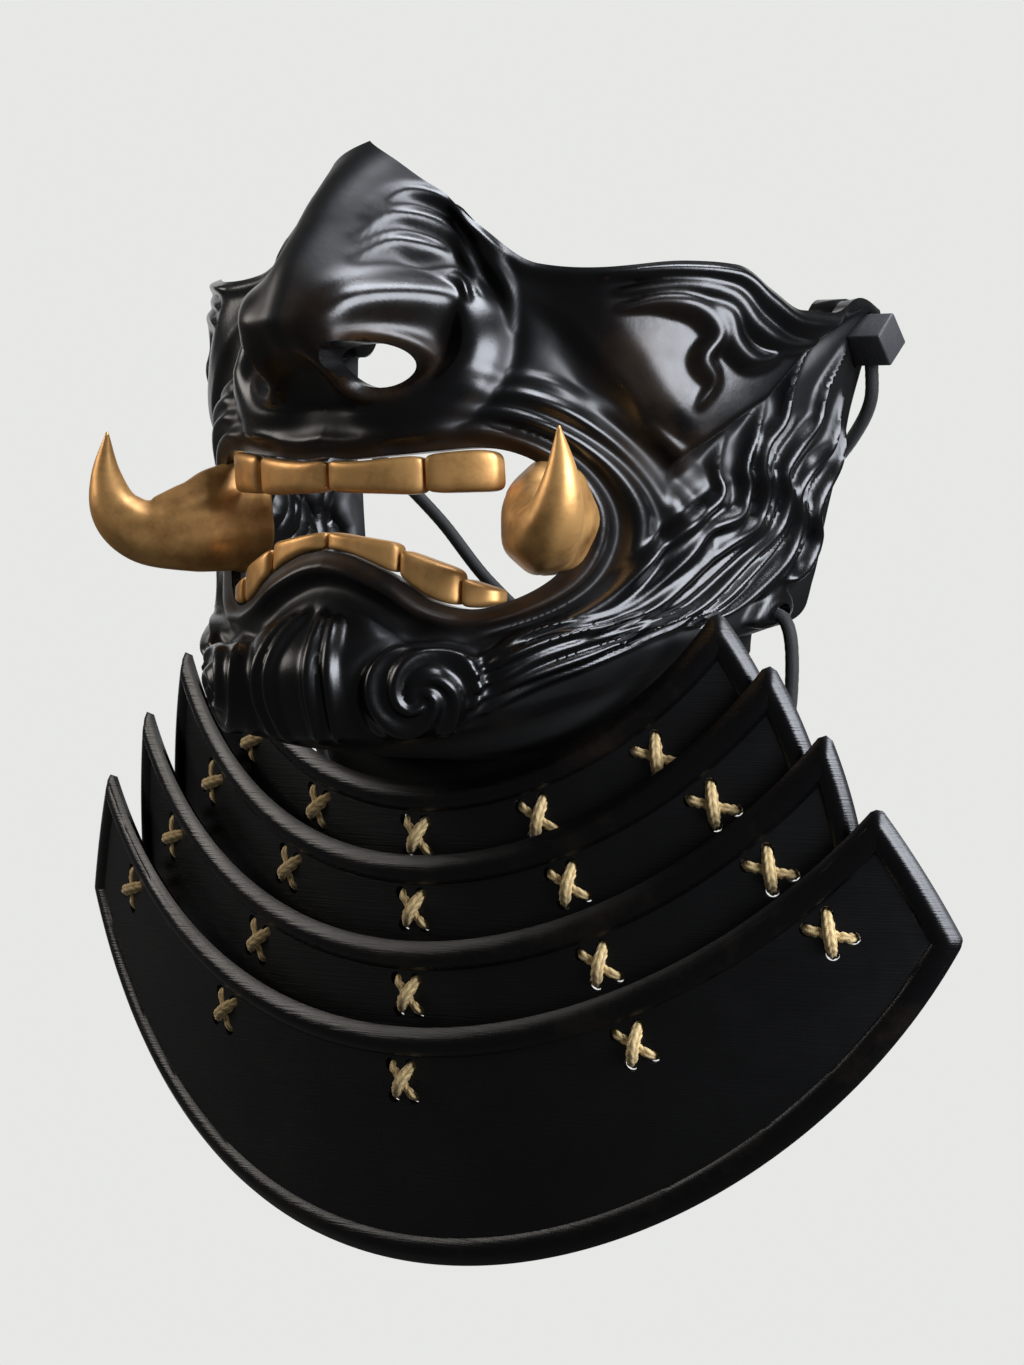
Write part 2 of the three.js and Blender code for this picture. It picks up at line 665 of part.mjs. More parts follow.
function lameWall(lame) {
  const rim = LAME_RIM.width;
  const edgeSteps = [0, rim * 0.3, rim * 0.7, rim];
  const across = 8;
  const columns = across + 2 * 3;
  const rows = 8;
  const bottomAt = (u) => lame.bottom + (lame.bottomEnd - lame.bottom) * u * u;
  const share = (i) => {
    if (i < 3) return { u: -1, inset: edgeSteps[i] };
    if (i > columns - 3) return { u: 1, inset: -edgeSteps[columns - i] };
    return { u: (2 * (i - 3)) / across - 1, inset: i === 3 ? rim : i === columns - 3 ? -rim : 0 };
  };
  const radiusAt = (u, j) => {
    const bottom = bottomAt(u);
    if (j <= 3) return lame.top + edgeSteps[j];
    if (j >= rows - 3) return bottom - edgeSteps[rows - j];
    return lame.top + LACE.below + 9.5;
  };
  const stationAt = (i, j) => {
    const { u, inset } = share(i);
    const radius = radiusAt(u, j);
    const end = lameEnd(lame, radius);
    return { angle: u * end + THREE.MathUtils.radToDeg(inset / radius), radius };
  };
  const onBead = (k, count) => (k === 1 || k === 2 || k === count - 1 || k === count - 2 ? 1 : 0);
  const hem = lame === LAMES[LAMES.length - 1];
  const beadAt = (i, j) => {
    const inside = i > 0 && i < columns && j > 0 && (hem ? j < rows : j < rows - 3);
    return inside ? LAME_RIM.height * Math.max(onBead(i, columns), onBead(j, rows)) : 0;
  };
  const innerColumns = [0, ...Array.from({ length: across + 1 }, (_, k) => k + 3), columns];
  const pointAt = (i, j, height) => lameAt(lame, stationAt(i, j).angle, stationAt(i, j).radius, height).point;
  return wallSolid({
    columns,
    rows,
    innerColumns,
    innerRows: [0, 4, rows],
    outer: (i, j) => pointAt(i, j, beadAt(i, j)),
    inner: (i, j) => pointAt(i, j, -LAME_WALL),
  });
}

function laceAngles(row) {
  const { inner, outer } = LACE_ROWS[row];
  return [-outer, -inner, 0, inner, outer];
}

// Runs over the four holes of one crossed lace.
function laceCorners(lame, angle) {
  const radius = lame.top + LACE.below;
  const corner = (side, drop) => {
    const r = radius + (drop * LACE.along) / 2;
    return { angle: angle + THREE.MathUtils.radToDeg((side * LACE.across) / 2 / r), radius: r };
  };
  return [corner(-1, -1), corner(1, 1), corner(1, -1), corner(-1, 1)];
}

// A square hole whose corners line up with the cord that comes out of it.
function laceHole(lame, corner, partner) {
  const at = lameAt(lame, corner.angle, corner.radius, 0);
  const along = lameAt(lame, partner.angle, partner.radius, 0).point.sub(at.point).normalize();
  const side = along.clone().cross(at.normal).normalize();
  const geometry = new THREE.CylinderGeometry(LACE.hole, LACE.hole, 10, 4);
  geometry.applyMatrix4(new THREE.Matrix4().makeBasis(side.clone().cross(at.normal).negate(), at.normal, side));
  geometry.translate(at.point.x, at.point.y, at.point.z);
  return closedSolid(geometry);
}

function makeLame(row) {
  const lame = LAMES[row];
  const holes = laceAngles(row).flatMap((angle) => {
    const [a, b, c, d] = laceCorners(lame, angle);
    return [laceHole(lame, a, b), laceHole(lame, b, a), laceHole(lame, c, d), laceHole(lame, d, c)];
  });
  return lameWall(lame).subtract(unite(holes));
}

function polygonShape(radius, sides) {
  const corners = [];
  for (let i = 0; i < sides; i += 1) {
    const turn = ((i + 0.5) / sides) * Math.PI * 2;
    corners.push(new THREE.Vector2(radius * Math.cos(turn), radius * Math.sin(turn)));
  }
  return new THREE.Shape(corners);
}

// One cord of a crossed lace: up through a hole, across, and down another.
function laceBar(lame, from, to, lift) {
  const middle = { angle: (from.angle + to.angle) / 2, radius: (from.radius + to.radius) / 2 };
  const low = -LAME_WALL - LACE.behind;
  const across = lameAt(lame, to.angle, to.radius, 0).point.sub(lameAt(lame, from.angle, from.radius, 0).point);
  across.normalize();
  const station = (corner, height, lean) => {
    const at = lameAt(lame, corner.angle, corner.radius, height);
    const side = at.normal.clone().cross(across).normalize();
    const rise = at.normal.clone().multiplyScalar(1 - Math.abs(lean)).addScaledVector(across, -lean).normalize();
    return { centre: at.point, side, rise, wide: LACE.radius, tall: LACE.radius };
  };
  return bentSpindle([
    station(from, low, 1),
    station(from, 0.4, 0.7),
    station(middle, lift, 0),
    station(to, 0.4, -0.7),
    station(to, low, -1),
  ], 4);
}

function makeLace(row, column) {
  const lame = LAMES[row];
  const [a, b, c, d] = laceCorners(lame, laceAngles(row)[column]);
  return laceBar(lame, a, b, 2).add(laceBar(lame, c, d, 3.3));
}

// ---------------------------------------------------------------- straps
function makeStrap(halfRoute, steps) {
  const right = halfRoute.map((p) => new THREE.Vector3(p.x, p.y, p.z));
  const left = halfRoute.slice(0, -1).reverse().map((p) => new THREE.Vector3(-p.x, p.y, p.z));
  const curve = new THREE.CatmullRomCurve3([...right, ...left]);
  return new THREE.ExtrudeGeometry(polygonShape(STRAP_RADIUS, 8), {
    steps, bevelEnabled: false, extrudePath: curve,
  });
}

// ---------------------------------------------------------------- assembly
const guard = new THREE.Group();
guard.position.set(0, -POST_DEPTH, -POST_HEIGHT);

function addPiece(name, geometry, material) {
  const mesh = new THREE.Mesh(geometry, material);
  mesh.name = name;
  guard.add(mesh);
}

addPiece('mask', geometryOf(makeMask()), lacquer);
addPiece('upper_teeth', geometryOf(toothRow(UPPER_TEETH, true)), gilding);
addPiece('lower_teeth', geometryOf(toothRow(LOWER_TEETH, false)), gilding);
addPiece('tusk_left', geometryOf(tuskSolid(0)), gilding);
addPiece('tusk_right', geometryOf(mirrored(tuskSolid(0))), gilding);
addPiece('cord_post_left', postBlock(0), postPlastic);
addPiece('cord_post_right', geometryOf(mirrored(closedSolid(postBlock(0)))), postPlastic);
LAMES.forEach((lame, row) => {
  addPiece(`lame_${row + 1}`, geometryOf(makeLame(row)), lameBlack);
  for (let column = 0; column < 5; column += 1) {
    addPiece(`lace_${row + 1}_${column + 1}`, geometryOf(makeLace(row, column)), laceGold);
  }
});
addPiece('head_strap', makeStrap(HEAD_STRAP, 34), elastic);
addPiece('neck_strap', makeStrap(NECK_STRAP, 30), elastic);

export default guard;
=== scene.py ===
# %% [markdown]
# # Samurai face guard
# A half mask of black lacquer with gilded teeth and tusks, and a throat guard
# of four lames that are laced with gold cord. The CAD model gives the frame and
# the sizes. This lesson gives every piece its true surface and finish.

# %% Load the frame
import math
import bpy
import bmesh
import numpy as np
from mathutils import Matrix, Vector


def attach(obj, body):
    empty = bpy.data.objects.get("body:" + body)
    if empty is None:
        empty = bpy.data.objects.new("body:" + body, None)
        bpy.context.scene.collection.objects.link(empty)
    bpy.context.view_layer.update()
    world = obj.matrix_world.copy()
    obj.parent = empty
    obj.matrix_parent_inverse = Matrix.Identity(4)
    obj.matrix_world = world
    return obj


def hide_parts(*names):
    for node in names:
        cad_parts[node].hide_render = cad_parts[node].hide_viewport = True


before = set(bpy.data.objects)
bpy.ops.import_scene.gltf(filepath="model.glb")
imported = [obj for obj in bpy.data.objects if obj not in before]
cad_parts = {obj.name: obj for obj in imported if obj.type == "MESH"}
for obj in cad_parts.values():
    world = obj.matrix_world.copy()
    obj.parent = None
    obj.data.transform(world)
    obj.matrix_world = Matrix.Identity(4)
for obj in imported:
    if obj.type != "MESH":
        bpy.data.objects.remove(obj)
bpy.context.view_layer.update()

# %% [markdown]
# Every table is in millimetres from the foot of the nose, because a face is
# easiest to draw from there. The frame's origin is midway between the two cord
# posts, so one function moves a finished point to it, in metres.

# %% From the foot of the nose to the frame
post_middle = np.array([0.0, 135.0, 18.0])


def to_frame(points):
    return (np.asarray(points, float) - post_middle) / 1000


print("foot of the nose in the frame", to_frame([0, 0, 0]))

# %% [markdown]
# The camera stands level with the mouth, 36 degrees round to the wearer's left,
# a little over a metre away behind a long lens. It leans by less than two
# degrees, as a camera in the hand does.

# %% Camera
azimuth, lean = math.radians(36), math.radians(1.6)
away = Vector((math.sin(azimuth), -math.cos(azimuth), 0))
level_side = Vector((math.cos(azimuth), math.sin(azimuth), 0))
side = level_side * math.cos(lean) + Vector((0, 0, math.sin(lean)))
rise = -level_side * math.sin(lean) + Vector((0, 0, math.cos(lean)))
distance, aside, below = 1189.2, 57.3, 83.1  # mm from the foot of the nose
stand = away * distance + side * aside - rise * below
camera_data = bpy.data.cameras.new("camera")
camera_data.sensor_width = 36
camera_data.lens = 116.04
camera = bpy.data.objects.new("camera", camera_data)
bpy.context.scene.collection.objects.link(camera)
turn = Matrix((side, rise, away)).transposed().to_4x4()
camera.matrix_world = Matrix.Translation(Vector(to_frame(stand))) @ turn
bpy.context.scene.camera = camera
print("camera", [round(v, 3) for v in camera.location])

# %% [markdown]
# Cords, tusks and laces are all round things that follow a line. Each could be
# a curve with a bevel, but a curve has no relief of its own. Here a flat grid is
# rolled up instead: its long side follows the line, its short side goes round.
# A function says how far the surface stands from the line at each place.

# %% Smooth lines
def smooth_line(points, count):
    """Points on a smooth curve through the given ones, evenly spaced in turn."""
    knots = np.asarray(points, float)
    padded = np.vstack([2 * knots[0] - knots[1], knots, 2 * knots[-1] - knots[-2]])
    at = np.linspace(0, len(knots) - 1 - 1e-9, count)
    k = at.astype(int)
    t = (at - k)[:, None]
    a, b, c, d = (padded[k + i] for i in range(4))
    return 0.5 * (2 * b + (c - a) * t + (2 * a - 5 * b + 4 * c - d) * t**2 + (3 * b - a - 3 * c + d) * t**3)


def line_length(points):
    return np.linalg.norm(np.diff(points, axis=0), axis=1).sum()


def even_line(points, count):
    """The same curve with its points at equal distances."""
    dense = smooth_line(points, 40 * len(points))
    run = np.concatenate([[0], np.cumsum(np.linalg.norm(np.diff(dense, axis=0), axis=1))])
    at = np.linspace(0, run[-1], count)
    return np.stack([np.interp(at, run, dense[:, i]) for i in range(dense.shape[1])], axis=1)


print("a test line is", round(line_length(even_line([(0, 0, 0), (10, 0, 0), (10, 10, 0)], 50)), 1), "mm")

# %% Grids that are moved into shape
def grid_start(columns, rows):
    """A flat grid, and for each of its vertices how far across and up it is."""
    bm = bmesh.new()
    bmesh.ops.create_grid(bm, x_segments=columns, y_segments=rows, size=0.5)
    flat = np.array([v.co[:2] for v in bm.verts]) + 0.5
    return bm, flat[:, 0], flat[:, 1]


def place_vertices(bm, points):
    for vertex, point in zip(bm.verts, to_frame(points)):
        vertex.co = point


def keep_values(bm, name, values):
    """Stores one value at each vertex, for the finish to read."""
    layer = bm.verts.layers.float.new(name)
    for vertex, value in zip(bm.verts, values):
        vertex[layer] = value


def loose_object(name, bm):
    mesh = bpy.data.meshes.new(name)
    bm.to_mesh(mesh)
    bm.free()
    thing = bpy.data.objects.new(name, mesh)
    bpy.context.scene.collection.objects.link(thing)
    return thing


def smooth_faces(piece, sharp_over=None):
    """Shades faces smooth, and keeps edges over an angle in degrees sharp."""
    piece.data.polygons.foreach_set("use_smooth", [True] * len(piece.data.polygons))
    if sharp_over:
        piece.data.set_sharp_from_angle(angle=math.radians(sharp_over))


def add_piece(name, bm, stands_for):
    """Makes the object of a piece, at the origin, riding on the root body."""
    piece = loose_object(name, bm)
    smooth_faces(piece)
    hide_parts(*stands_for)
    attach(piece, "root")
    return piece


def close_up(bm):
    """Merges the seam of a rolled grid, closes its ends and turns its faces out."""
    bmesh.ops.remove_doubles(bm, verts=bm.verts, dist=1e-6)
    open_edges = [e for e in bm.edges if e.is_boundary]
    bmesh.ops.holes_fill(bm, edges=open_edges, sides=0)
    bmesh.ops.recalc_face_normals(bm, faces=bm.faces)


def rolled(path, round_count, stand_off, first_side=(0, 0, 1)):
    """A closed tube along path. stand_off(turn, along) gives its radius in mm
    for each turn round it, 0 to 1, and each length along it, 0 to 1."""
    path = np.asarray(path, float)
    bm, around, along = grid_start(round_count, len(path) - 1)
    ahead = np.gradient(path, axis=0)
    ahead /= np.linalg.norm(ahead, axis=1)[:, None]
    sides = np.zeros_like(path)
    lead = np.array(first_side, float)
    for i, direction in enumerate(ahead):
        lead = lead - direction * (lead @ direction)
        lead /= np.linalg.norm(lead)
        sides[i] = lead
    other = np.cross(ahead, sides)
    station = np.rint(along * (len(path) - 1)).astype(int)
    turn = around * 2 * math.pi
    offset = stand_off(around % 1, along)
    wide, tall = offset if isinstance(offset, tuple) else (offset, offset)
    sideways = sides[station] * (wide * np.cos(turn))[:, None]
    place_vertices(bm, path[station] + sideways + other[station] * (tall * np.sin(turn))[:, None])
    return bm, around, along


def absorb(bm, other):
    """Adds the mesh of another bmesh, which is then freed."""
    mesh = bpy.data.meshes.new("part")
    other.to_mesh(mesh)
    other.free()
    bm.from_mesh(mesh)
    bpy.data.meshes.remove(mesh)


print("a grid of 3 by 2 has", len(grid_start(3, 2)[1]), "vertices")

# %% [markdown]
# Two black elastic cords hold the guard on the head: one from ear to ear over
# the back of the head, one round the neck. A braided cord is a tube of knitted
# plaits, so the tube gets a shallow chevron relief at the plait's true pitch.
# Each follows the CAD route, and each is a fixed length of something limp.

# %% Braided relief
def braid(around, length_mm, plaits, pitch):
    """Height from 0 to 1 of plaits that lean to each other in chevrons."""
    column = around * plaits
    lean_of = np.abs((column % 2) - 1)
    step = (length_mm / pitch + lean_of * 0.9) % 1
    across = np.abs((column % 1) - 0.5) * 2
    return np.sqrt(np.clip(1 - (2 * step - 1) ** 2, 0, 1)) * (1 - 0.6 * across**3)


def braided_tube(path, radius, plaits, pitch, depth, round_count):
    length = line_length(path)

    def stand_off(around, along):
        return radius - depth * (1 - braid(around, along * length, plaits, pitch))

    bm, around, along = rolled(path, round_count, stand_off)
    keep_values(bm, "plait", braid(around % 1, along * length, plaits, pitch))
    close_up(bm)
    return bm


print("plait heights", braid(np.array([0.1, 0.4]), np.array([0.0, 1.0]), 8, 2.4).round(2))

# %% Elastic cords
elastic_radius = 2.0
head_half = [(97, 136.2, 12.6), (95, 139.5, 1), (88, 142, -9), (77, 145, -19),
             (62, 148, -33), (45, 150, -51), (24, 151.5, -66), (0, 152, -72)]
neck_half = [(76, 113, -60.5), (84.5, 113.5, -61.5), (87, 114.5, -72), (85, 116, -92),
             (77, 118, -112), (61, 120, -129), (42, 121, -140), (21, 122, -146), (0, 122, -148)]


def both_halves(half):
    return half + [(-x, y, z) for x, y, z in reversed(half[:-1])]


def elastic_cord(name, half, node):
    path = even_line(both_halves(half), 240)
    bm = braided_tube(path, elastic_radius, 12, 2.2, 0.16, 24)
    piece = add_piece(name, bm, [node])
    print(name, "is", round(line_length(path)), "mm long")
    return piece


head_cord = elastic_cord("head_cord", head_half, "head_strap")
neck_cord = elastic_cord("neck_cord", neck_half, "neck_strap")

# %% [markdown]
# ## The mask
# The real mask is a shell about 3 mm thick, cast or moulded with all its relief
# and then lacquered. It could be sculpted, but then nobody could read how it
# was made. Here it is a fine grid: each vertex has an angle round the face and a
# level, tables give the plain face there, and heights are then added for each
# fold, lock and curl.

# %% Tables of the plain face
def table(rows):
    """A smooth curve through (key, value) rows that never swings past them."""
    keys, values = np.array(sorted(rows), float).T
    slope = np.diff(values) / np.diff(keys)
    before, after = slope[:-1], slope[1:]
    total = np.where(before + after == 0, 1, before + after)
    inner = np.where(before * after <= 0, 0, 2 * before * after / total)
    tangent = np.concatenate([slope[:1], inner, slope[-1:]])

    def read(at):
        at = np.clip(at, keys[0], keys[-1])
        k = np.clip(np.searchsorted(keys, at, side="right") - 1, 0, len(keys) - 2)
        span = keys[k + 1] - keys[k]
        t = (at - keys[k]) / span
        bend = span * t * (1 - t) * (tangent[k] * (1 - t) - tangent[k + 1] * t)
        return values[k] + (values[k + 1] - values[k]) * t * t * (3 - 2 * t) + bend

    return read


face_rows = [  # level, front, half width, depth
    (70, 32, 95, 102), (45, 32, 96, 102), (25, 27, 96, 104), (5, 18, 93, 108), (-12, 11, 90, 112),
    (-40, 13, 85, 108), (-64, 12, 81, 107), (-82, 3, 78, 110), (-96, 6, 74, 106), (-101, 13, 71, 96),
    (-104, 34, 70, 72), (-107, 65, 72, 46), (-124, 68.5, 70, 46)]
face_front, face_half, face_depth = (table([(r[0], r[i]) for r in face_rows]) for i in (1, 2, 3))
top_edge = table([(0, 65), (6, 59.5), (12, 51), (20, 40), (30, 30), (40, 27.5), (52, 29.5), (60, 29),
                  (66, 23.5), (73, 18.5), (80, 18.5), (90, 23), (97, 20)])
nose_rows = [(-9, 0, 26), (0, 13, 30), (6, 28, 31), (14, 36.5, 30), (22, 37, 29), (41, 29.5, 24),
             (53, 19, 21), (66, 3, 18)]
nose_reach, nose_half = (table([(r[0], r[i]) for r in nose_rows]) for i in (1, 2))
rear_angle, bottom_level, wall = 97, -124, 3.4
print("half width at the mouth", float(face_half(-40)), "mm")

# %% The plain face
def smooth_step(value, low, high):
    t = np.clip((value - low) / (high - low), 0, 1)
    return t * t * (3 - 2 * t)


def bump_of(distance, spread):
    return np.exp(-((distance / spread) ** 2))


def plain_face(angle, level):
    turn = np.radians(angle)
    back = 1 - np.cos(turn)
    jaw_rise = 46 * smooth_step(-58 - level, 0, 68)
    x = face_half(level) * np.sin(turn)
    y = face_front(level) + face_depth(level) * back
    z = level + jaw_rise * back / (1 - math.cos(math.radians(95)))
    across = np.clip(np.abs(x) / nose_half(z), 0, 1)
    nose = np.where(z > -9, nose_reach(z), 0) * (1 - across**2) ** 1.6
    return np.stack([x, y - nose, z + 0.05 * y], axis=-1)


def face_out(angle, level):
    """The direction out of the face, which turns slowly, so that relief on a bend doesn't fold."""
    across = plain_face(angle + 4, level) - plain_face(angle - 4, level)
    up = plain_face(angle, level + 4) - plain_face(angle, level - 4)
    out = np.cross(across, up)
    return out / np.linalg.norm(out, axis=-1)[..., None]


print("tip of the nose", plain_face(np.array([0.0]), np.array([20.0]))[0].round(1))

# %% [markdown]
# Relief is drawn on a chart: millimetres of arc from the middle line across,
# and level up. Both sides match, so only one is drawn. A strand is a smooth
# line with a half width and a height. Where strands lie side by side the higher
# one wins, which leaves the crisp valley that a carver cuts between two locks.

# %% The chart
chart_step, chart_half_width, chart_depth = 0.25, 88, 110
angles = np.linspace(0, 400 * chart_step, 401)
arc_steps = np.hypot(chart_half_width * np.cos(np.radians(angles[:-1])),
                     chart_depth * np.sin(np.radians(angles[:-1])))
arc_table = np.concatenate([[0], np.cumsum(arc_steps * math.radians(chart_step))])


def arc(angle):
    """How far round from the middle line an angle is, in mm."""
    return np.interp(np.abs(angle), angles, arc_table)


def on_chart(points):
    pairs = np.asarray(points, float)
    return np.stack([arc(pairs[:, 0]), pairs[:, 1]], axis=1)


class Relief:
    """Heights over the chart, for the vertices at (across, up)."""

    def __init__(self, across, up):
        self.at = np.stack([across, up], axis=1)
        self.lift = np.zeros(len(across))

    def distance(self, line, reach):
        """Which vertices are near a line, how far each is, and how far along."""
        low, high = line.min(0) - reach, line.max(0) + reach
        chosen = np.flatnonzero(((self.at >= low) & (self.at <= high)).all(1))
        start, step = line[:-1], np.diff(line, axis=0)
        gap = self.at[chosen][:, None] - start[None]
        share = np.clip((gap * step).sum(2) / np.maximum((step**2).sum(1), 1e-9), 0, 1)
        far = np.linalg.norm(gap - share[..., None] * step, axis=2)
        best = far.argmin(1)
        rows = np.arange(len(chosen))
        return chosen, far[rows, best], (best + share[rows, best]) / len(step)

    def strand(self, line, half_width, height, tip=0.3, root=0.12, power=1.6):
        """A ridge that is highest on the line and tapers over its root and tip shares."""
        chosen, far, along = self.distance(line, half_width)
        taper = np.minimum(1, np.minimum(along / root, (1 - along) / tip)) ** 0.7
        share = np.clip(far / (half_width * (0.25 + 0.75 * taper)), 0, 1)
        ridge = 1 - share**power
        self.lift[chosen] = np.maximum(self.lift[chosen], height * ridge * (0.35 + 0.65 * taper))

    def strands(self, many, half_width, height, **shape):
        for points in many:
            self.strand(even_line(on_chart(points), 40), half_width, height, **shape)


print("the ear is", round(float(arc(95))), "mm round from the nose")

# %% [markdown]
# The beard is carved in flame-like locks that sweep up from the jaw to the ear
# and sway as they go. Hair could be grown from particles, but a carver thinks in
# a few bold ridges, and so does this: one line for each main lock, a lower lock
# half way between each pair, and strands that follow the jaw.

# %% Beard
flame_locks = [  # (angle, level) from root to tip, the foremost lock first
    [(40, -67), (50, -61), (57, -51), (62, -42), (66, -37), (69, -31), (68, -25), (70, -16)],
    [(43, -74), (54, -64), (63, -50), (67, -42), (73, -37), (74, -30), (73, -23), (76, -6)],
    [(50, -76), (61, -61), (71, -46), (77, -40), (78, -32), (76, -25), (76, -18), (79, -11), (79, 0),
     (83, 14)],
    [(58, -78), (69, -62), (76, -50), (82, -42), (83, -33), (81, -26), (83, -19), (87, -11), (87, -2),
     (90, 9)],
    [(70, -72), (80, -59), (86, -49), (87, -40), (85, -32), (87, -25), (92, -18), (93, -4)],
    [(85, -58), (91, -53), (93, -45), (91, -37), (92, -30), (95, -23), (96, -14)]]
jaw_start = [(34, -79), (44, -71), (54, -65), (63, -58), (70, -55)]
jaw_strands, jaw_spacing = 5, 4.6


def add_beard(relief):
    lines = [even_line(on_chart(points), 60) for points in flame_locks]
    for line in lines:
        relief.strand(line, 3.5, 5.0, power=1.7)
    for fore, rear in zip(lines, lines[1:]):
        gap = np.linalg.norm(fore[30] - rear[30])
        relief.strand((fore + rear)[4:48] / 2, 0.24 * gap, 3.4, tip=0.4, power=1.7)
    for k in range(jaw_strands):
        points = [(a, level - (jaw_spacing + 0.15 * n) * k) for n, (a, level) in enumerate(jaw_start)]
        reach = 5 if k < 3 else 4
        relief.strand(even_line(on_chart(points[:reach]), 50), 2.7, 3.6 - 0.3 * k, tip=0.35, power=1.8)


print(len(flame_locks), "flame locks and", jaw_strands, "jaw strands on each side")

# %% [markdown]
# The chin carries a curl at each side. A curl is a spiral, and in polar form a
# spiral is only a wave whose phase grows with the radius, so the whole curl is
# one formula: ridges as deep as the locks beside them, on a low dome.

# %% Curls of the chin
curl_centre, curl_radius, curl_arms = (arc(25.5), -88.0), 19.0, 3


def curl_height(across, up):
    away_x, away_z = across - curl_centre[0], (up - curl_centre[1]) * 1.08
    radius = np.hypot(away_x, away_z)
    turn = np.arctan2(away_z, away_x)
    phase = (curl_arms * turn / (2 * math.pi) + 3.3 * (radius / curl_radius) ** 0.62 + 0.2) % 1
    ridge = np.where(phase < 0.3, phase / 0.3, (1 - phase) / 0.7) ** 0.85
    fine = 0.22 * np.cos(phase * 2 * math.pi * 2) * smooth_step(radius, 7, 11)
    inside = 1 - smooth_step(radius, curl_radius - 3, curl_radius)
    moat = -1.2 * bump_of(radius - curl_radius - 1, 2.6)
    dome = 4.2 * np.clip(1 - (radius / curl_radius) ** 2, 0, 1)
    return inside * (3.4 * (ridge + fine) * smooth_step(radius, 0, 3) - 0.4) + dome + moat


chin_sweeps = [
    [(36, -70), (42, -66), (50, -60), (57, -50)],
    [(1.6, -64), (3.6, -73), (4.8, -83), (4.6, -93), (3.2, -101)],
    [(4.6, -66), (6.8, -73), (8.6, -81), (9.0, -90), (8, -100)]]


print("the curl's middle is", round(float(curl_centre[0])), "mm round from the nose")

# %% [markdown]
# The nose and the cheek are drawn up in a snarl. Their folds are strands too:
# three at each side of the nose and four under the top edge of the cheek. The
# cheek between the mouth and the beard is one raised plane.

# %% Folds of the nose and cheek
nose_folds = [
    [(6.5, 42), (9, 50), (14, 46.5), (19.5, 37), (25, 25), (29, 12)],
    [(6.5, 36), (9, 43), (13, 40.5), (18, 31), (22.5, 21)],
    [(7.5, 30), (10, 35.5), (13.5, 33), (17.5, 26), (20.5, 19)]]
brow_folds = [
    [(40, 25), (50, 26.5), (60, 25.5), (66, 19.5), (73, 14.5), (82, 15), (90, 20)],
    [(43, 20.5), (52, 23), (60, 21), (65.5, 14), (72, 9.5), (80, 10.5)],
    [(44, 16), (50, 18.5), (56, 17), (60, 11), (59, 4), (62, -2), (61, -8)],
    [(54, 20), (60, 16), (63, 9), (67, 4.5), (71, 6), (71, 10)]]
fold_beside_mouth = [(23.5, 25), (36.5, 12), (49.5, -7), (60, -24.5)]
under_cheek = [(60, -24.5), (73, -8), (79.5, 11), (86.5, 19.5)]


def cheek_height(angle, level):
    """A raised plane between the fold beside the mouth and the beard."""
    inner = np.interp(angle, *np.array([(10, 40)] + fold_beside_mouth + [(75, -50)]).T)
    outer = np.interp(angle, *np.array([(45, -44)] + under_cheek + [(100, 34)]).T)
    inside = np.minimum((level - inner) * 0.78, (level - outer) * 0.75)
    facet = smooth_step((level - inner) * 0.78, 0, 11) * smooth_step(angle, 26, 44)
    fade = smooth_step(angle, 24, 42) * (1 - smooth_step(angle, 76, 92))
    valley = -2.6 * bump_of(inside + 4.5, 3.2) * smooth_step(angle, 30, 46)
    return (smooth_step(inside, -1.2, 2.6) * (3.4 + 3.2 * facet) + valley) * fade


print(len(nose_folds), "folds on the nose,", len(brow_folds), "on the cheek")

# %% [markdown]
# Lips and nostrils are rolled edges. Outside the mouth there is first a narrow
# flat band, then the crest of the lip, then folds that run round the corner.
# All depend only on the distance to the edge, measured in the front view.

# %% Mouth and nostrils
mouth_half = [(0, -21.5), (10, -22), (29, -20), (43, -18.5), (52, -20.5), (58, -26), (61, -34), (60.5, -43),
              (57, -52), (50, -58.5), (41, -62), (31, -60), (22, -54), (9, -48.5), (0, -47)]
nostril_middle, nostril_size = (19.0, 3.0), (7.0, 6.0)


def front_distance(x, z, line):
    """Distance from each point to a closed outline, both in the front view."""
    best = np.full(len(x), 1e9)
    for a, s in zip(line, np.roll(line, -1, axis=0) - line):
        share = np.clip(((x - a[0]) * s[0] + (z - a[1]) * s[1]) / max(s @ s, 1e-9), 0, 1)
        best = np.minimum(best, np.hypot(x - a[0] - share * s[0], z - a[1] - share * s[1]))
    return best


mouth_line = smooth_line(mouth_half, 90)


def mouth_distance(points):
    x, z = np.abs(points[:, 0]), points[:, 2]
    loop = np.vstack([mouth_line, mouth_line[::-1] * [-1, 1]])
    inside = np.zeros(len(x), bool)
    for (ax, az), (bx, bz) in zip(loop, np.roll(loop, -1, axis=0)):
        crosses = (az > z) != (bz > z)
        inside ^= crosses & (x < (bx - ax) * (z - az) / (bz - az if bz != az else 1e-9) + ax)
    far = front_distance(x, z, loop)
    return np.where(inside, -far, far)


def lip_height(points, gap):
    x, z = np.abs(points[:, 0]), points[:, 2]
    corner = smooth_step(x, 34, 56)
    crest = 3.0 * np.clip(1 - np.abs((gap - 5.2 + 1.8 * corner) / 3.2), 0, 1) ** 0.8
    rows = ((9.2, 3.4), (14.6, 2.9), (19.4, 1.6))
    folds = sum(h * (1 - np.clip(np.abs(gap - d) / 2.9, 0, 1) ** 1.8) for d, h in rows)
    under = smooth_step(-z, 46, 54)
    groove = 1.2 * bump_of(gap - 6.4, 1.4)
    dip = 2.4 * under * (1 - corner) * bump_of(gap - 10, 3)
    return crest + corner * folds - groove - dip


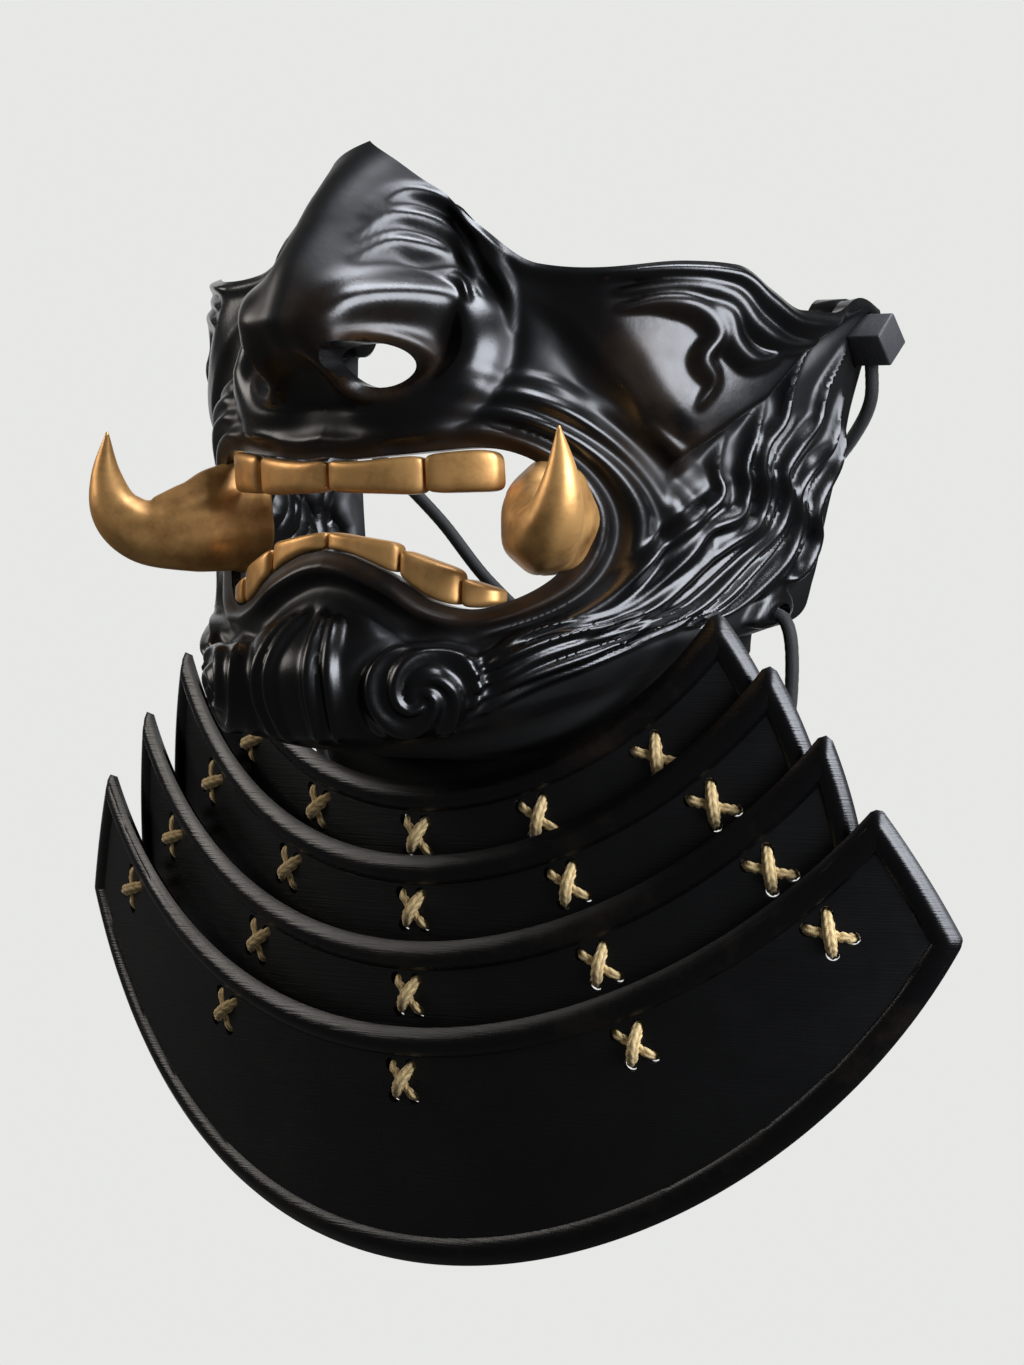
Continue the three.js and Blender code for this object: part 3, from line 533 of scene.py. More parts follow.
def nostril_gap(points):
    x, z = np.abs(points[:, 0]), points[:, 2]
    share = np.hypot((x - nostril_middle[0]) / nostril_size[0], (z - nostril_middle[1]) / nostril_size[1])
    return (share - 1) * sum(nostril_size) / 2


def nostril_height(points):
    gap = nostril_gap(points)
    x, z = np.abs(points[:, 0]), points[:, 2]
    wing = np.hypot(x - 22, z - 6) - 16.5
    above = smooth_step(z, -8, 2)
    ball = 6.0 * bump_of(wing + 1.5, 6.5) * (0.55 + 0.45 * above) * smooth_step(x, 2, 14)
    crease = -2.2 * bump_of(wing - 8.5, 2.4) * smooth_step(x, 14, 24)
    rim = 1.8 * bump_of(gap - 2.2, 1.7)
    return ball + crease + rim


print("mouth outline of", round(line_length(mouth_line)), "mm on each side")

# %% [markdown]
# Now the grid itself. Its columns are evenly spaced round the face, and few of
# its rows go to the smooth flange under the chin. The heights are rounded off a
# little, because a crest between two vertices would look like a row of beads.

# %% Outer skin of the mask
grid_columns, grid_rows = 400, 205


def softened(values, across, up, passes):
    """Rounds off heights on the grid, as a polisher does between two cuts."""
    column = np.rint(across * grid_columns).astype(int)
    row = np.rint(up * grid_rows).astype(int)
    sheet = np.zeros((grid_rows + 1, grid_columns + 1))
    sheet[row, column] = values
    for _ in range(passes):
        wide = np.pad(sheet, 1, mode="edge")
        beside = wide[:-2, 1:-1] + wide[2:, 1:-1] + wide[1:-1, :-2] + wide[1:-1, 2:]
        sheet = (beside + 4 * sheet) / 8
    return sheet[row, column]


bm, share_across, share_up = grid_start(grid_columns, grid_rows)
t = 2 * share_across - 1
angle = np.sign(t) * np.interp(np.abs(t) * arc(rear_angle), arc_table, angles)
rows_up, share_up = share_up, np.interp(share_up, [0, 0.035, 1], [0, 0.11, 1])
level = bottom_level + (top_edge(np.abs(angle)) - bottom_level) * share_up
plain = plain_face(angle, level)
relief = Relief(arc(angle), level)
add_beard(relief)
relief.strands(chin_sweeps, 2.6, 2.6, power=2)
relief.strands(nose_folds, 3.6, 3.0, tip=0.4, root=0.4, power=1.7)
relief.strands(brow_folds, 3.9, 3.6, root=0.3, power=1.8)
mouth_gap = mouth_distance(plain)
above_throat = smooth_step(level, -102, -97)
boss = np.hypot(arc(angle) - arc(86.5), level + 67)
height = relief.lift * smooth_step(mouth_gap, 6, 11) * above_throat * smooth_step(boss, 7, 12)
height += 3.2 * (1 - smooth_step(boss, 7.5, 10.5)) + 0.9 * bump_of(boss - 4.6, 1.2)
height += curl_height(arc(angle), level) * above_throat
ball_of_chin = 5 * bump_of(np.hypot(np.abs(angle) * 1.1, level + 80), 18)
height += ball_of_chin * above_throat * smooth_step(mouth_gap, 4, 14)
height += cheek_height(np.abs(angle), level)
height += lip_height(plain, mouth_gap) * above_throat
height += nostril_height(plain)
height = softened(height, share_across, rows_up, 3)
from_top = (1 - share_up) * (top_edge(np.abs(angle)) - bottom_level)
height += 1.3 * bump_of(from_top - 2.2, 2.0) * smooth_step(np.abs(angle), 8, 20)
place_vertices(bm, plain + face_out(angle, level) * height[:, None])
print("outer skin:", len(bm.faces), "faces, relief up to", round(float(height.max()), 1), "mm")

# %% [markdown]
# Two values are kept at each vertex for the finish. One says where bronze was
# rubbed in: round the mouth and the nostrils, and on the folds. The other says
# where the lacquer is dull: under the chin and in the valleys.

# %% Where the bronze shows
rubbed = np.clip(
    0.95 * bump_of(mouth_gap - 1.2, 3.0) * (1 - 0.6 * smooth_step(np.abs(plain[:, 0]), 46, 60))
    + 0.75 * bump_of(nostril_gap(plain) - 1.0, 3.0)
    + 0.35 * bump_of(np.hypot(plain[:, 0] * 0.8, plain[:, 2] - 16), 14) * (np.abs(plain[:, 0]) > 3)
    + 0.55 * bump_of(np.hypot(arc(angle) - arc(57), level + 14), 13)
    + 0.4 * bump_of(np.hypot(arc(angle) - arc(50), level - 8), 10), 0, 1)
keep_values(bm, "bronze_rub", rubbed)
under_chin = 1 - smooth_step(level, -105, -99)
keep_values(bm, "recess", np.maximum(under_chin, 0.3 * np.clip(1 - height / 2.4, 0, 1)))
mask = add_piece("mask_shell", bm, ["mask"])
print("rubbed share", round(float((rubbed > 0.3).mean()), 2))

# %% [markdown]
# The wall and the openings are left to modifiers, which keep a wall even and an
# edge clean. Solidify gives the wall, and Decimate thins its plain inner skin.
# What a modifier shows then becomes the piece's own mesh.

# %% Helpers for modifiers
def with_modifier(piece, kind, **settings):
    modifier = piece.modifiers.new(kind.title(), kind)
    for name, value in settings.items():
        setattr(modifier, name, value)
    return modifier


def settle(piece):
    """Makes what the modifiers show the piece's own mesh."""
    shown = piece.evaluated_get(bpy.context.evaluated_depsgraph_get())
    mesh = bpy.data.meshes.new_from_object(shown)
    piece.modifiers.clear()
    old = piece.data
    piece.data = mesh
    bpy.data.meshes.remove(old)
    print(piece.name, "has", sum(len(p.vertices) - 2 for p in mesh.polygons), "triangles")


def cut_away(piece, cutter):
    with_modifier(piece, "BOOLEAN", object=cutter, operation="DIFFERENCE", solver="MANIFOLD")
    settle(piece)
    bpy.data.objects.remove(cutter)


# %% Wall of the mask
mask.vertex_groups.new(name="inner")
with_modifier(mask, "SOLIDIFY", thickness=wall / 1000, offset=-1, shell_vertex_group="inner")
settle(mask)
with_modifier(mask, "DECIMATE", ratio=0.565, vertex_group="inner")
settle(mask)

# %% [markdown]
# The mouth, the nostrils, the lower holes and the seats of the posts go right
# through the wall. One cutter holds a prism for each, and one boolean cuts all.

# %% Cutters for the openings
def outline_prism(bm, outline, near, far):
    """A prism with a front-view outline, from y near to y far, in mm."""
    ring = [bm.verts.new(to_frame([x, near, z])) for x, z in outline]
    face = bm.faces.new(ring)
    moved = bmesh.ops.extrude_face_region(bm, geom=[face])["geom"]
    tops = [v for v in moved if isinstance(v, bmesh.types.BMVert)]
    bmesh.ops.translate(bm, verts=tops, vec=(0, (far - near) / 1000, 0))


def turned_block(bm, centre, size, turn_x, bevel=0):
    """A block, turned about X, with softened edges if a bevel in mm is given."""
    made = bmesh.ops.create_cube(bm, size=1)["verts"]
    bmesh.ops.scale(bm, verts=made, vec=[s / 1000 for s in size])
    if bevel:
        edges = {e for v in made for e in v.link_edges}
        soft = bmesh.ops.bevel(bm, geom=list(edges), offset=bevel / 1000, segments=3,
                               affect="EDGES", profile=0.5, material=-1)
        made = list({v for f in soft["faces"] for v in f.verts} | {v for v in made if v.is_valid})
    bmesh.ops.rotate(bm, verts=made, cent=(0, 0, 0), matrix=Matrix.Rotation(turn_x, 3, "X"))
    bmesh.ops.translate(bm, verts=made, vec=to_frame(centre))


def round_cutter(bm, sides, radius, depth, turned, place):
    """A cylinder of a radius and depth in mm, turned and moved to its place."""
    made = bmesh.ops.create_cone(bm, segments=sides, radius1=radius / 1000, radius2=radius / 1000,
                                 depth=depth / 1000, cap_ends=True)["verts"]
    bmesh.ops.rotate(bm, verts=made, cent=(0, 0, 0), matrix=turned)
    bmesh.ops.translate(bm, verts=made, vec=to_frame(place))


lower_hole_at = plain_face(np.array([88.0]), np.array([-69.0]))[0]
lower_hole_radius, sideways = 3.2, Matrix.Rotation(math.pi / 2, 3, "Y")
post_size, post_turn, post_from, seat_gap = (14, 10.8, 10.8), 0.75, 90.5, 0.7


def post_centre(sign):
    return sign * (post_from + post_size[0] / 2), post_middle[1], post_middle[2]


def nostril_outline(sign):
    turns = np.linspace(0, 2 * math.pi, 49)[:-1]
    x = sign * (nostril_middle[0] + nostril_size[0] * np.cos(turns))
    return np.stack([x, nostril_middle[1] + nostril_size[1] * np.sin(turns)], axis=1)


bm = bmesh.new()
loop = np.vstack([mouth_line[:-1], (mouth_line[::-1] * [-1, 1])[:-1]])
outline_prism(bm, loop, -60, 80)
for sign in (1, -1):
    outline_prism(bm, nostril_outline(sign), -60, 60)
    round_cutter(bm, 32, lower_hole_radius, 30, sideways, lower_hole_at * [sign, 1, 1])
    turned_block(bm, post_centre(sign), [s + seat_gap for s in post_size], sign * post_turn)
bmesh.ops.recalc_face_normals(bm, faces=bm.faces)
cut_away(mask, loose_object("cutter", bm))

# %% [markdown]
# At each ear the mask has a rolled lug over the cord post. It is a short turned
# piece, so it is made with a spin: a half profile of a few points, turned once
# round its axis.

# %% Ear lugs
def spun(profile, centre, sign):
    """Turns a profile of (along x, radius) in mm round an axis along X."""
    bm = bmesh.new()
    points = [bm.verts.new((sign * x / 1000, 0, r / 1000)) for x, r in profile]
    edges = [bm.edges.new(pair) for pair in zip(points, points[1:])]
    bmesh.ops.spin(bm, geom=points + edges, cent=(0, 0, 0), axis=(1, 0, 0), angle=2 * math.pi, steps=36,
                   use_merge=True)
    bmesh.ops.remove_doubles(bm, verts=bm.verts, dist=1e-6)
    bmesh.ops.translate(bm, verts=bm.verts, vec=to_frame(centre))
    bmesh.ops.recalc_face_normals(bm, faces=bm.faces)
    return bm


lug_profile = [(-9.5, 0.0), (-9.5, 5.6), (-8.6, 6.5), (0.4, 6.5), (1.3, 5.9), (1.5, 4.6), (0.6, 3.4),
               (0.4, 0.0)]
lug_depth, lug_level = 132, 23
bm = bmesh.new()
bm.from_mesh(mask.data)
for sign in (1, -1):
    absorb(bm, spun(lug_profile, (sign * post_from, lug_depth, lug_level), sign))
bm.to_mesh(mask.data)
bm.free()
smooth_faces(mask, sharp_over=50)
print("mask with lugs has", len(mask.data.polygons), "faces")

# %% [markdown]
# The posts are square pegs of dark plastic at the ears, and the elastic comes
# out under them. They are moulded with soft edges, so each is a bevelled cube.

# %% Cord posts
for name, sign, node in (("post_left", 1, "cord_post_left"), ("post_right", -1, "cord_post_right")):
    bm = bmesh.new()
    turned_block(bm, post_centre(sign), post_size, sign * post_turn, bevel=0.7)
    bmesh.ops.recalc_face_normals(bm, faces=bm.faces)
    post = add_piece(name, bm, [node])
    smooth_faces(post, sharp_over=35)

# %% [markdown]
# ## Teeth and tusks
# Each tooth is a rounded block that follows the arch of the mouth. A cube is
# cut into a fine lattice, its corners are drawn in as on a pillow, and then the
# block is bent on to the face between its root and its bite.

# %% One tooth
upper_teeth = [(0, 28.5, -31, -31.5), (28.5, 46, -31, -30)]
lower_teeth = [(0, 22, -41.5, -44.5), (22, 37.5, -46, -51.5), (37.5, 46, -53.5, -56.5)]
proud, deep, root_gap = 0.8, 5.5, 0.45


def root_line(upper):
    wanted = [p for p in mouth_line if (p[1] > -32) == upper]
    xs, zs = np.array(sorted(map(tuple, wanted))).T
    return lambda x: np.interp(x, xs, zs) - (1 if upper else -1) * root_gap


def arch_depth(x, z):
    """How far back the plain face is at a place in the front view."""
    level_there = z - 0.05 * 20
    for _ in range(3):
        turn = np.arcsin(np.clip(x / face_half(level_there), -1, 1))
        y = face_front(level_there) + face_depth(level_there) * (1 - np.cos(turn))
        level_there = z - 0.05 * y
    return y


def make_tooth(tooth, upper, sign):
    left, right, bite_left, bite_right = tooth
    bm = bmesh.new()
    bmesh.ops.create_cube(bm, size=2)
    bmesh.ops.subdivide_edges(bm, edges=bm.edges[:], cuts=11, use_grid_fill=True)
    cube = np.array([v.co for v in bm.verts])
    norm = (np.abs(cube) ** 7).sum(1) ** (1 / 7)
    soft = cube / norm[:, None] * np.abs(cube).max(1)[:, None]
    u, v, w = ((soft[:, i] + 1) / 2 for i in range(3))
    x = left + 0.25 + (right - left - 0.5) * u
    bite = bite_left + (bite_right - bite_left) * u
    z = bite + (root_line(upper)(x) - bite) * v
    crown = (1 - (2 * u - 1) ** 4) * (1 - (2 * v - 1) ** 6)
    y = arch_depth(x, z) - proud + 1.1 - 1.3 * crown + (deep + proud - 1.1) * w
    place_vertices(bm, np.stack([sign * x, y, z], axis=1))
    bmesh.ops.recalc_face_normals(bm, faces=bm.faces)
    return bm


def tooth_row(name, teeth, upper, node):
    bm = bmesh.new()
    for tooth in teeth:
        for sign in (1, -1):
            absorb(bm, make_tooth(tooth, upper, sign))
    piece = add_piece(name, bm, [node])
    with_modifier(piece, "SUBSURF", levels=1, render_levels=1)
    return piece


upper_row = tooth_row("teeth_upper", upper_teeth, True, "upper_teeth")
lower_row = tooth_row("teeth_lower", lower_teeth, False, "lower_teeth")
print("teeth made:", 2 * (len(upper_teeth) + len(lower_teeth)))

# %% [markdown]
# A tusk is a horn: thick and a little flat at the root, then round, then a
# point. It leaves the corner of the mouth, runs out and forward, and turns up.
# Shallow flutes run along it and die away before the tip.

# %% Tusks
tusk_stations = [  # x, y, z, half width, half height
    (53, 46, -36, 13.4, 16.5), (56.5, 38, -37, 12.6, 15.6), (61.5, 28.5, -40, 11.4, 13),
    (70, 19, -41.5, 9.6, 9.4), (76.5, 14, -36, 7.4, 7.4), (79, 12, -26, 4.4, 4.4),
    (78.4, 11.2, -13.8, 0.35, 0.35)]
flutes = 7


def make_tusk(name, sign, node):
    line = smooth_line(np.array(tusk_stations)[:, :3] * [sign, 1, 1], 64)
    widths = smooth_line(np.array(tusk_stations)[:, 3:], 64)

    def stand_off(around, along):
        station = np.rint(along * 63).astype(int)
        flute = (np.cos(around * 2 * math.pi * flutes) - 1) * 0.022 * (1 - smooth_step(along, 0.45, 0.85))
        ripple = np.sin(along * 46 + 3 * np.sin(around * 2 * math.pi))
        ring = 0.008 * ripple * (1 - smooth_step(along, 0.1, 0.5))
        wide, tall = widths[station].T
        return wide * (1 + flute + ring), tall * (1 + flute + ring)

    bm, around, along = rolled(line, 56, stand_off, first_side=(0.809 * sign, 0.588, 0))
    in_flute = 0.5 - 0.5 * np.cos(around * 2 * math.pi * flutes)
    keep_values(bm, "groove", in_flute * np.maximum(0, 1 - along * 1.4))
    close_up(bm)
    return add_piece(name, bm, [node])


tusk_left = make_tusk("horn_left", 1, "tusk_left")
tusk_right = make_tusk("horn_right", -1, "tusk_right")
print("tusk line is", round(line_length(smooth_line(np.array(tusk_stations)[:, :3], 64))), "mm")

# %% [markdown]
# ## The throat guard
# Four lames overlap, each a curved plate with a rolled rim. On the real guard
# they are moulded in one go with the rim. A grid is bent to the plate, its rows
# crowd near the edges, and the rim is a height that depends on the distance to
# the edge. Solidify gives the wall.

# %% One lame
lame_centre, lame_lean, lame_wall, rim_height, rim_zone = -11, 0.2, 2.4, 1.7, 7
lames = [  # top, bottom, bottom at the ends, tip angle, taper, front, bend
    (100.5, 140, 136, 59.4, 0.3, 57.5, 195), (121, 163, 156, 57.5, 0.3, 56.5, 228),
    (145, 187, 178, 55, 0.3, 55.3, 264), (169, 233, 204, 52.7, 0.135, 54, 300)]


def lame_place(lame, angle, radius):
    top, front, bend = lame[0], lame[5], lame[6]
    x = radius * np.sin(np.radians(angle))
    y = front + x**2 / (2 * bend) + lame_lean * (radius - top)
    return np.stack([x, y, lame_centre - radius * np.cos(np.radians(angle))], axis=-1)


def lame_out(lame, angle, radius):
    across = lame_place(lame, angle + 0.5, radius) - lame_place(lame, angle - 0.5, radius)
    down = lame_place(lame, angle, radius + 0.5) - lame_place(lame, angle, radius - 0.5)
    out = np.cross(down, across)
    return out / np.linalg.norm(out, axis=-1)[..., None]


def crowd(share, inset, edge_share):
    """Shares from 0 to 1 with an even part and a fine part at each end."""
    return np.interp(share, [0, edge_share, 1 - edge_share, 1], [0, inset, 1 - inset, 1])


def make_lame(row, lame):
    top, bottom, bottom_end, tip, taper = lame[:5]
    bm, across, down = grid_start(150, 56)
    width = 2 * math.radians(tip) * (top + bottom) / 2
    u = crowd(across, rim_zone / width, 0.09) * 2 - 1
    v = crowd(down, rim_zone / (bottom - top), 0.22)
    low = bottom + (bottom_end - bottom) * u**2
    radius = top + (low - top) * v
    end = tip - taper * (radius - top)
    angle_there = u * end
    from_side = (1 - np.abs(u)) * np.radians(end) * radius
    from_rim = np.minimum(from_side, radius - top)
    if row == 3:
        from_rim = np.minimum(from_rim, low - radius)
    bead = np.clip(1 - ((from_rim - 2.9) / 2.3) ** 2, 0, 1) ** 0.8
    bead = np.maximum(bead, 0.55 * (from_rim < 2.9) * smooth_step(from_rim, 0, 0.9))
    raised = (rim_height * bead)[:, None]
    place_vertices(bm, lame_place(lame, angle_there, radius) + lame_out(lame, angle_there, radius) * raised)
    keep_values(bm, "rim", bead)
    piece = add_piece(f"plate_{row + 1}", bm, [f"lame_{row + 1}"])
    with_modifier(piece, "SOLIDIFY", thickness=lame_wall / 1000, offset=-1)
    settle(piece)
    return piece


plates = [make_lame(row, lame) for row, lame in enumerate(lames)]

# %% [markdown]
# Crosses of cord hold each lame to the one behind it. The cord goes in at four
# round holes, 4 mm wide. One side of the cross lies over the other.

# %% Holes and crosses
lace_rows = [(19.7, 38.3), (21.2, 40.6), (22.1, 41.3), (23.1, 42.1)]
cross_below, cross_wide, cross_tall, hole_radius, lace_radius = 13.5, 6.8, 9.0, 1.95, 1.85


def cross_corners(lame, middle):
    corners = []
    for sideways, down in ((-1, -1), (1, 1), (1, -1), (-1, 1)):
        radius = lame[0] + cross_below + down * cross_tall / 2
        corners.append((middle + math.degrees(sideways * cross_wide / 2 / radius), radius))
    return corners


def cross_angles(row):
    near, far = lace_rows[row]
    return [-far, -near, 0, near, far]


def hole_cutter(lame, row):
    bm = bmesh.new()
    for middle in cross_angles(row):
        for a, r in cross_corners(lame, middle):
            square_on = Vector((0, 0, 1)).rotation_difference(Vector(lame_out(lame, a, r))).to_matrix()
            round_cutter(bm, 24, hole_radius, 12, square_on, lame_place(lame, a, r))
    return loose_object("hole_cutter", bm)


for row, (lame, plate) in enumerate(zip(lames, plates)):
    cut_away(plate, hole_cutter(lame, row))
    smooth_faces(plate, sharp_over=38)

# %% [markdown]
# Each lace is knitted cord, so it gets the same chevron relief as the elastic,
# but coarser. Its line starts behind the plate, comes up through one hole, lies
# over the plate and goes down the other.

# %% Laces
def lace_path(lame, start, end, lift):
    """Up through one hole, over the plate and down the other."""

    def spot(share, height):
        a = start[0] + (end[0] - start[0]) * share
        r = start[1] + (end[1] - start[1]) * share
        return lame_place(lame, a, r) + lame_out(lame, a, r) * height

    stations = [(-0.01, -3.2), (0, -0.8), (0.1, 1.25), (0.32, lift * 0.86), (0.5, lift),
                (0.68, lift * 0.86), (0.9, 1.25), (1, -0.8), (1.01, -3.2)]
    return even_line([spot(share, height) for share, height in stations], 44)


def make_lace(row, column, lame, middle):
    a, b, c, d = cross_corners(lame, middle)
    cross = braided_tube(lace_path(lame, a, b, 1.5), lace_radius, 6, 2.3, 0.45, 24)
    absorb(cross, braided_tube(lace_path(lame, c, d, 3.6), lace_radius, 6, 2.3, 0.45, 24))
    place = f"{row + 1}_{column + 1}"
    return add_piece("cross_" + place, cross, ["lace_" + place])


laces = [make_lace(row, column, lame, middle)
         for row, lame in enumerate(lames) for column, middle in enumerate(cross_angles(row))]
print(len(laces), "crosses of cord")

# %% [markdown]
# ## Finishes
# One small function adds a shader node and sets or links its inputs. A few more
# name what the nodes are for: patches, a stretched range, a product, a blend of
# two colours, a bump. Colours are sRGB hex values, turned to linear light.

# %% Material helpers
def colour(hex_value):
    parts = [int(hex_value[i:i + 2], 16) / 255 for i in (1, 3, 5)]
    return [*(c / 12.92 if c <= 0.04045 else ((c + 0.055) / 1.055) ** 2.4 for c in parts), 1]


def feed(owner, node, key, value):
    """Links an input to another node's output, or sets it to a plain value."""
    if isinstance(value, bpy.types.NodeSocket):
        owner.node_tree.links.new(value, node.inputs[key])
    else:
        node.inputs[key].default_value = value


def add_node(owner, kind, inputs, **attributes):
    """Adds a shader node to a material or a world."""
    node = owner.node_tree.nodes.new("ShaderNode" + kind)
    for name, value in attributes.items():
        setattr(node, name, value)
    for key, value in inputs.items():
        feed(owner, node, key, value)
    return node


def surface(material, **inputs):
    """Sets or links inputs of the material's own shader."""
    shader = material.node_tree.nodes["Principled BSDF"]
    for name, value in inputs.items():
        feed(material, shader, name.replace("_", " "), value)


def new_material(name, base, roughness, **inputs):
    material = bpy.data.materials.new(name)
    material.use_nodes = True
    surface(material, Base_Color=colour(base), Roughness=roughness, **inputs)
    return material


def finish_with(piece, material):
    piece.data.materials.clear()
    piece.data.materials.append(material)


print("bronze in linear light", [round(c, 3) for c in colour("#3a2a17")])

# %% What the nodes are for
def noise(material, scale, detail, roughness=0.5, stretch=(1, 1, 1)):
    """Values near 0.5 in soft patches that are about 1000 / scale mm across."""
    place = add_node(material, "TexCoord", {}).outputs["Object"]
    shaped = add_node(material, "Mapping", {"Vector": place, "Scale": stretch}).outputs["Vector"]
    inputs = {"Vector": shaped, "Scale": scale, "Detail": detail, "Roughness": roughness}
    return add_node(material, "TexNoise", inputs).outputs["Fac"]


def carried(material, name):
    """A value that the mesh keeps at each vertex."""
    return add_node(material, "Attribute", {}, attribute_name=name).outputs["Fac"]


def spread(material, value, low=0.0, high=1.0, to_low=0.0, to_high=1.0):
    """Stretches the values between low and high over a new range."""
    inputs = {"Value": value, "From Min": low, "From Max": high, "To Min": to_low, "To Max": to_high}
    return add_node(material, "MapRange", inputs).outputs["Result"]


def product(material, first, second, plus=0.0, clamp=False):
    """first * second + plus. Each is a number or another node's output."""
    inputs = {0: first, 1: second, 2: plus}
    return add_node(material, "Math", inputs, operation="MULTIPLY_ADD", use_clamp=clamp).outputs[0]


def blend(material, share, first, second):
    """The first colour where the share is 0, the second where it is 1."""
    inputs = {0: share, 6: colour(first), 7: colour(second)}
    return add_node(material, "Mix", inputs, data_type="RGBA").outputs[2]


def bump(material, height, strength, depth_mm):
    inputs = {"Height": height, "Strength": strength, "Distance": depth_mm / 1000}
    return add_node(material, "Bump", inputs).outputs["Normal"]


# %% [markdown]
# The mask is resin under black lacquer, rubbed with bronze wax. The lacquer is
# smooth, so its highlights are clear, but brushing leaves it a little uneven, in
# clouds 17 mm wide with a grain of 1 mm. The bronze is a brown cast that is
# rougher than the lacquer.

# %% Black lacquer
lacquer = new_material("black_lacquer_on_resin", "#040405", 0.26, Metallic=0.0, IOR=1.52)
cloud = noise(lacquer, 60, 4, 0.6)
patchy = spread(lacquer, cloud, 0.3, 0.62)
worn = product(lacquer, carried(lacquer, "bronze_rub"), patchy, clamp=True)
gloss = spread(lacquer, cloud, 0.25, 0.75, 0.22, 0.31)
waxed = product(lacquer, worn, 0.14, plus=gloss)
dull = product(lacquer, carried(lacquer, "recess"), 0.6, plus=waxed, clamp=True)
uneven = product(lacquer, noise(lacquer, 900, 3), 0.12, plus=cloud)
surface(lacquer, Base_Color=blend(lacquer, worn, "#040405", "#3d2a17"), Roughness=dull)
surface(lacquer, Metallic=product(lacquer, worn, 0.5), Normal=bump(lacquer, uneven, 0.25, 0.6))
finish_with(mask, lacquer)
print(lacquer.name, "has", len(lacquer.node_tree.nodes), "nodes")

# %% [markdown]
# Teeth and tusks are painted in antique gold: a fine metallic paint, satin,
# with brown glaze wiped into the grooves and left in blots 9 mm wide. The brush
# left streaks 4 mm wide and three times as long.

# %% Antique gold paint
gold = new_material("antique_gold_paint", "#c8995a", 0.45, Metallic=0.6)
mottle = noise(gold, 110, 5, 0.65)
streak = noise(gold, 260, 3, stretch=(1, 1, 0.3))
wiped = spread(gold, mottle, 0.45, 0.9)
glaze = product(gold, carried(gold, "groove"), 0.6, plus=wiped, clamp=True)
surface(gold, Base_Color=blend(gold, glaze, "#e0ac6a", "#8a5c2c"))
surface(gold, Roughness=spread(gold, streak, 0, 1, 0.34, 0.54), Normal=bump(gold, mottle, 0.3, 0.4))
for piece in (upper_row, lower_row, tusk_left, tusk_right):
    finish_with(piece, gold)
print(gold.name, "has", len(gold.node_tree.nodes), "nodes")

# %% [markdown]
# The lames are a satin black, drier than the mask, with fine level brush lines
# 0.4 mm apart and smudges 40 mm wide. Handling has polished the rims and left a
# little bronze on them.

# %% Satin black of the lames
satin = new_material("satin_black_lame", "#08080a", 0.4, Specular_IOR_Level=0.42)
brush = noise(satin, 1, 3, stretch=(60, 60, 2400))
smudge = noise(satin, 26, 5, 0.7)
bronzed = product(satin, carried(satin, "rim"), spread(satin, smudge, 0.5, 0.7, 0, 0.6), clamp=True)
dry = spread(satin, smudge, 0.3, 0.7, 0.36, 0.5)
polished = product(satin, carried(satin, "rim"), -0.2, plus=dry)
surface(satin, Base_Color=blend(satin, bronzed, "#040405", "#2a2016"), Roughness=polished)
surface(satin, Normal=bump(satin, brush, 0.35, 0.3))
for plate in plates:
    finish_with(plate, satin)
print(satin.name, "has", len(satin.node_tree.nodes), "nodes")

# %% [markdown]
# The laces are knitted polyester cord in a gold tan. The plaits' own relief
# carries the look, each plait has threads 0.6 mm wide, and painted shade darkens
# the valleys between plaits. The elastic is made the same way, in black.

# %% Gold cord and black elastic
def cord_material(name, crown, valley, roughness, scale):
    material = new_material(name, crown, roughness, Sheen_Weight=0.25)
    threads = noise(material, scale, 3)
    # Random tone of the threads, plus the plait's height, which paints shade into the valleys between
    # plaits
    thread_tone_and_plait_shade = product(material, threads, 0.45, plus=carried(material, "plait"))
    depth = spread(material, thread_tone_and_plait_shade, 0.3, 1.15)
    surface(material, Base_Color=blend(material, depth, valley, crown))
    surface(material, Normal=bump(material, threads, 0.4, 0.3))
    return material


# The third colour of each cord is painted shade for the valleys between its plaits
gold_cord = cord_material("knitted_polyester_cord", "#e6cb92", "#7c5826", 0.8, 1800)
black_cord = cord_material("braided_elastic_cord", "#1c1c1d", "#060606", 0.7, 1600)
for lace in laces:
    finish_with(lace, gold_cord)
for cord_piece in (head_cord, neck_cord):
    finish_with(cord_piece, black_cord)
print(len(laces), "laces in", gold_cord.name)

# %% [markdown]
# The posts are a dark grey plastic, moulded with a grain of 1.4 mm and a little
# smeared by hands.

# %% Moulded plastic of the posts
plastic = new_material("moulded_dark_plastic", "#343436", 0.5)
surface(plastic, Base_Color=blend(plastic, noise(plastic, 90, 4), "#28282a", "#48484a"))
surface(plastic, Normal=bump(plastic, noise(plastic, 700, 2), 0.3, 0.3))
for name in ("post_left", "post_right"):
    finish_with(bpy.data.objects[name], plastic)
print("posts in", plastic.name)

# %% [markdown]
# ## Stage
# A round pale floor well below the guard, in a plain pale room. A wall would
# hide the guard from the back, so the room is the world: pale where it is seen,
# and dim where it lights, because a bright room turns black lacquer grey.

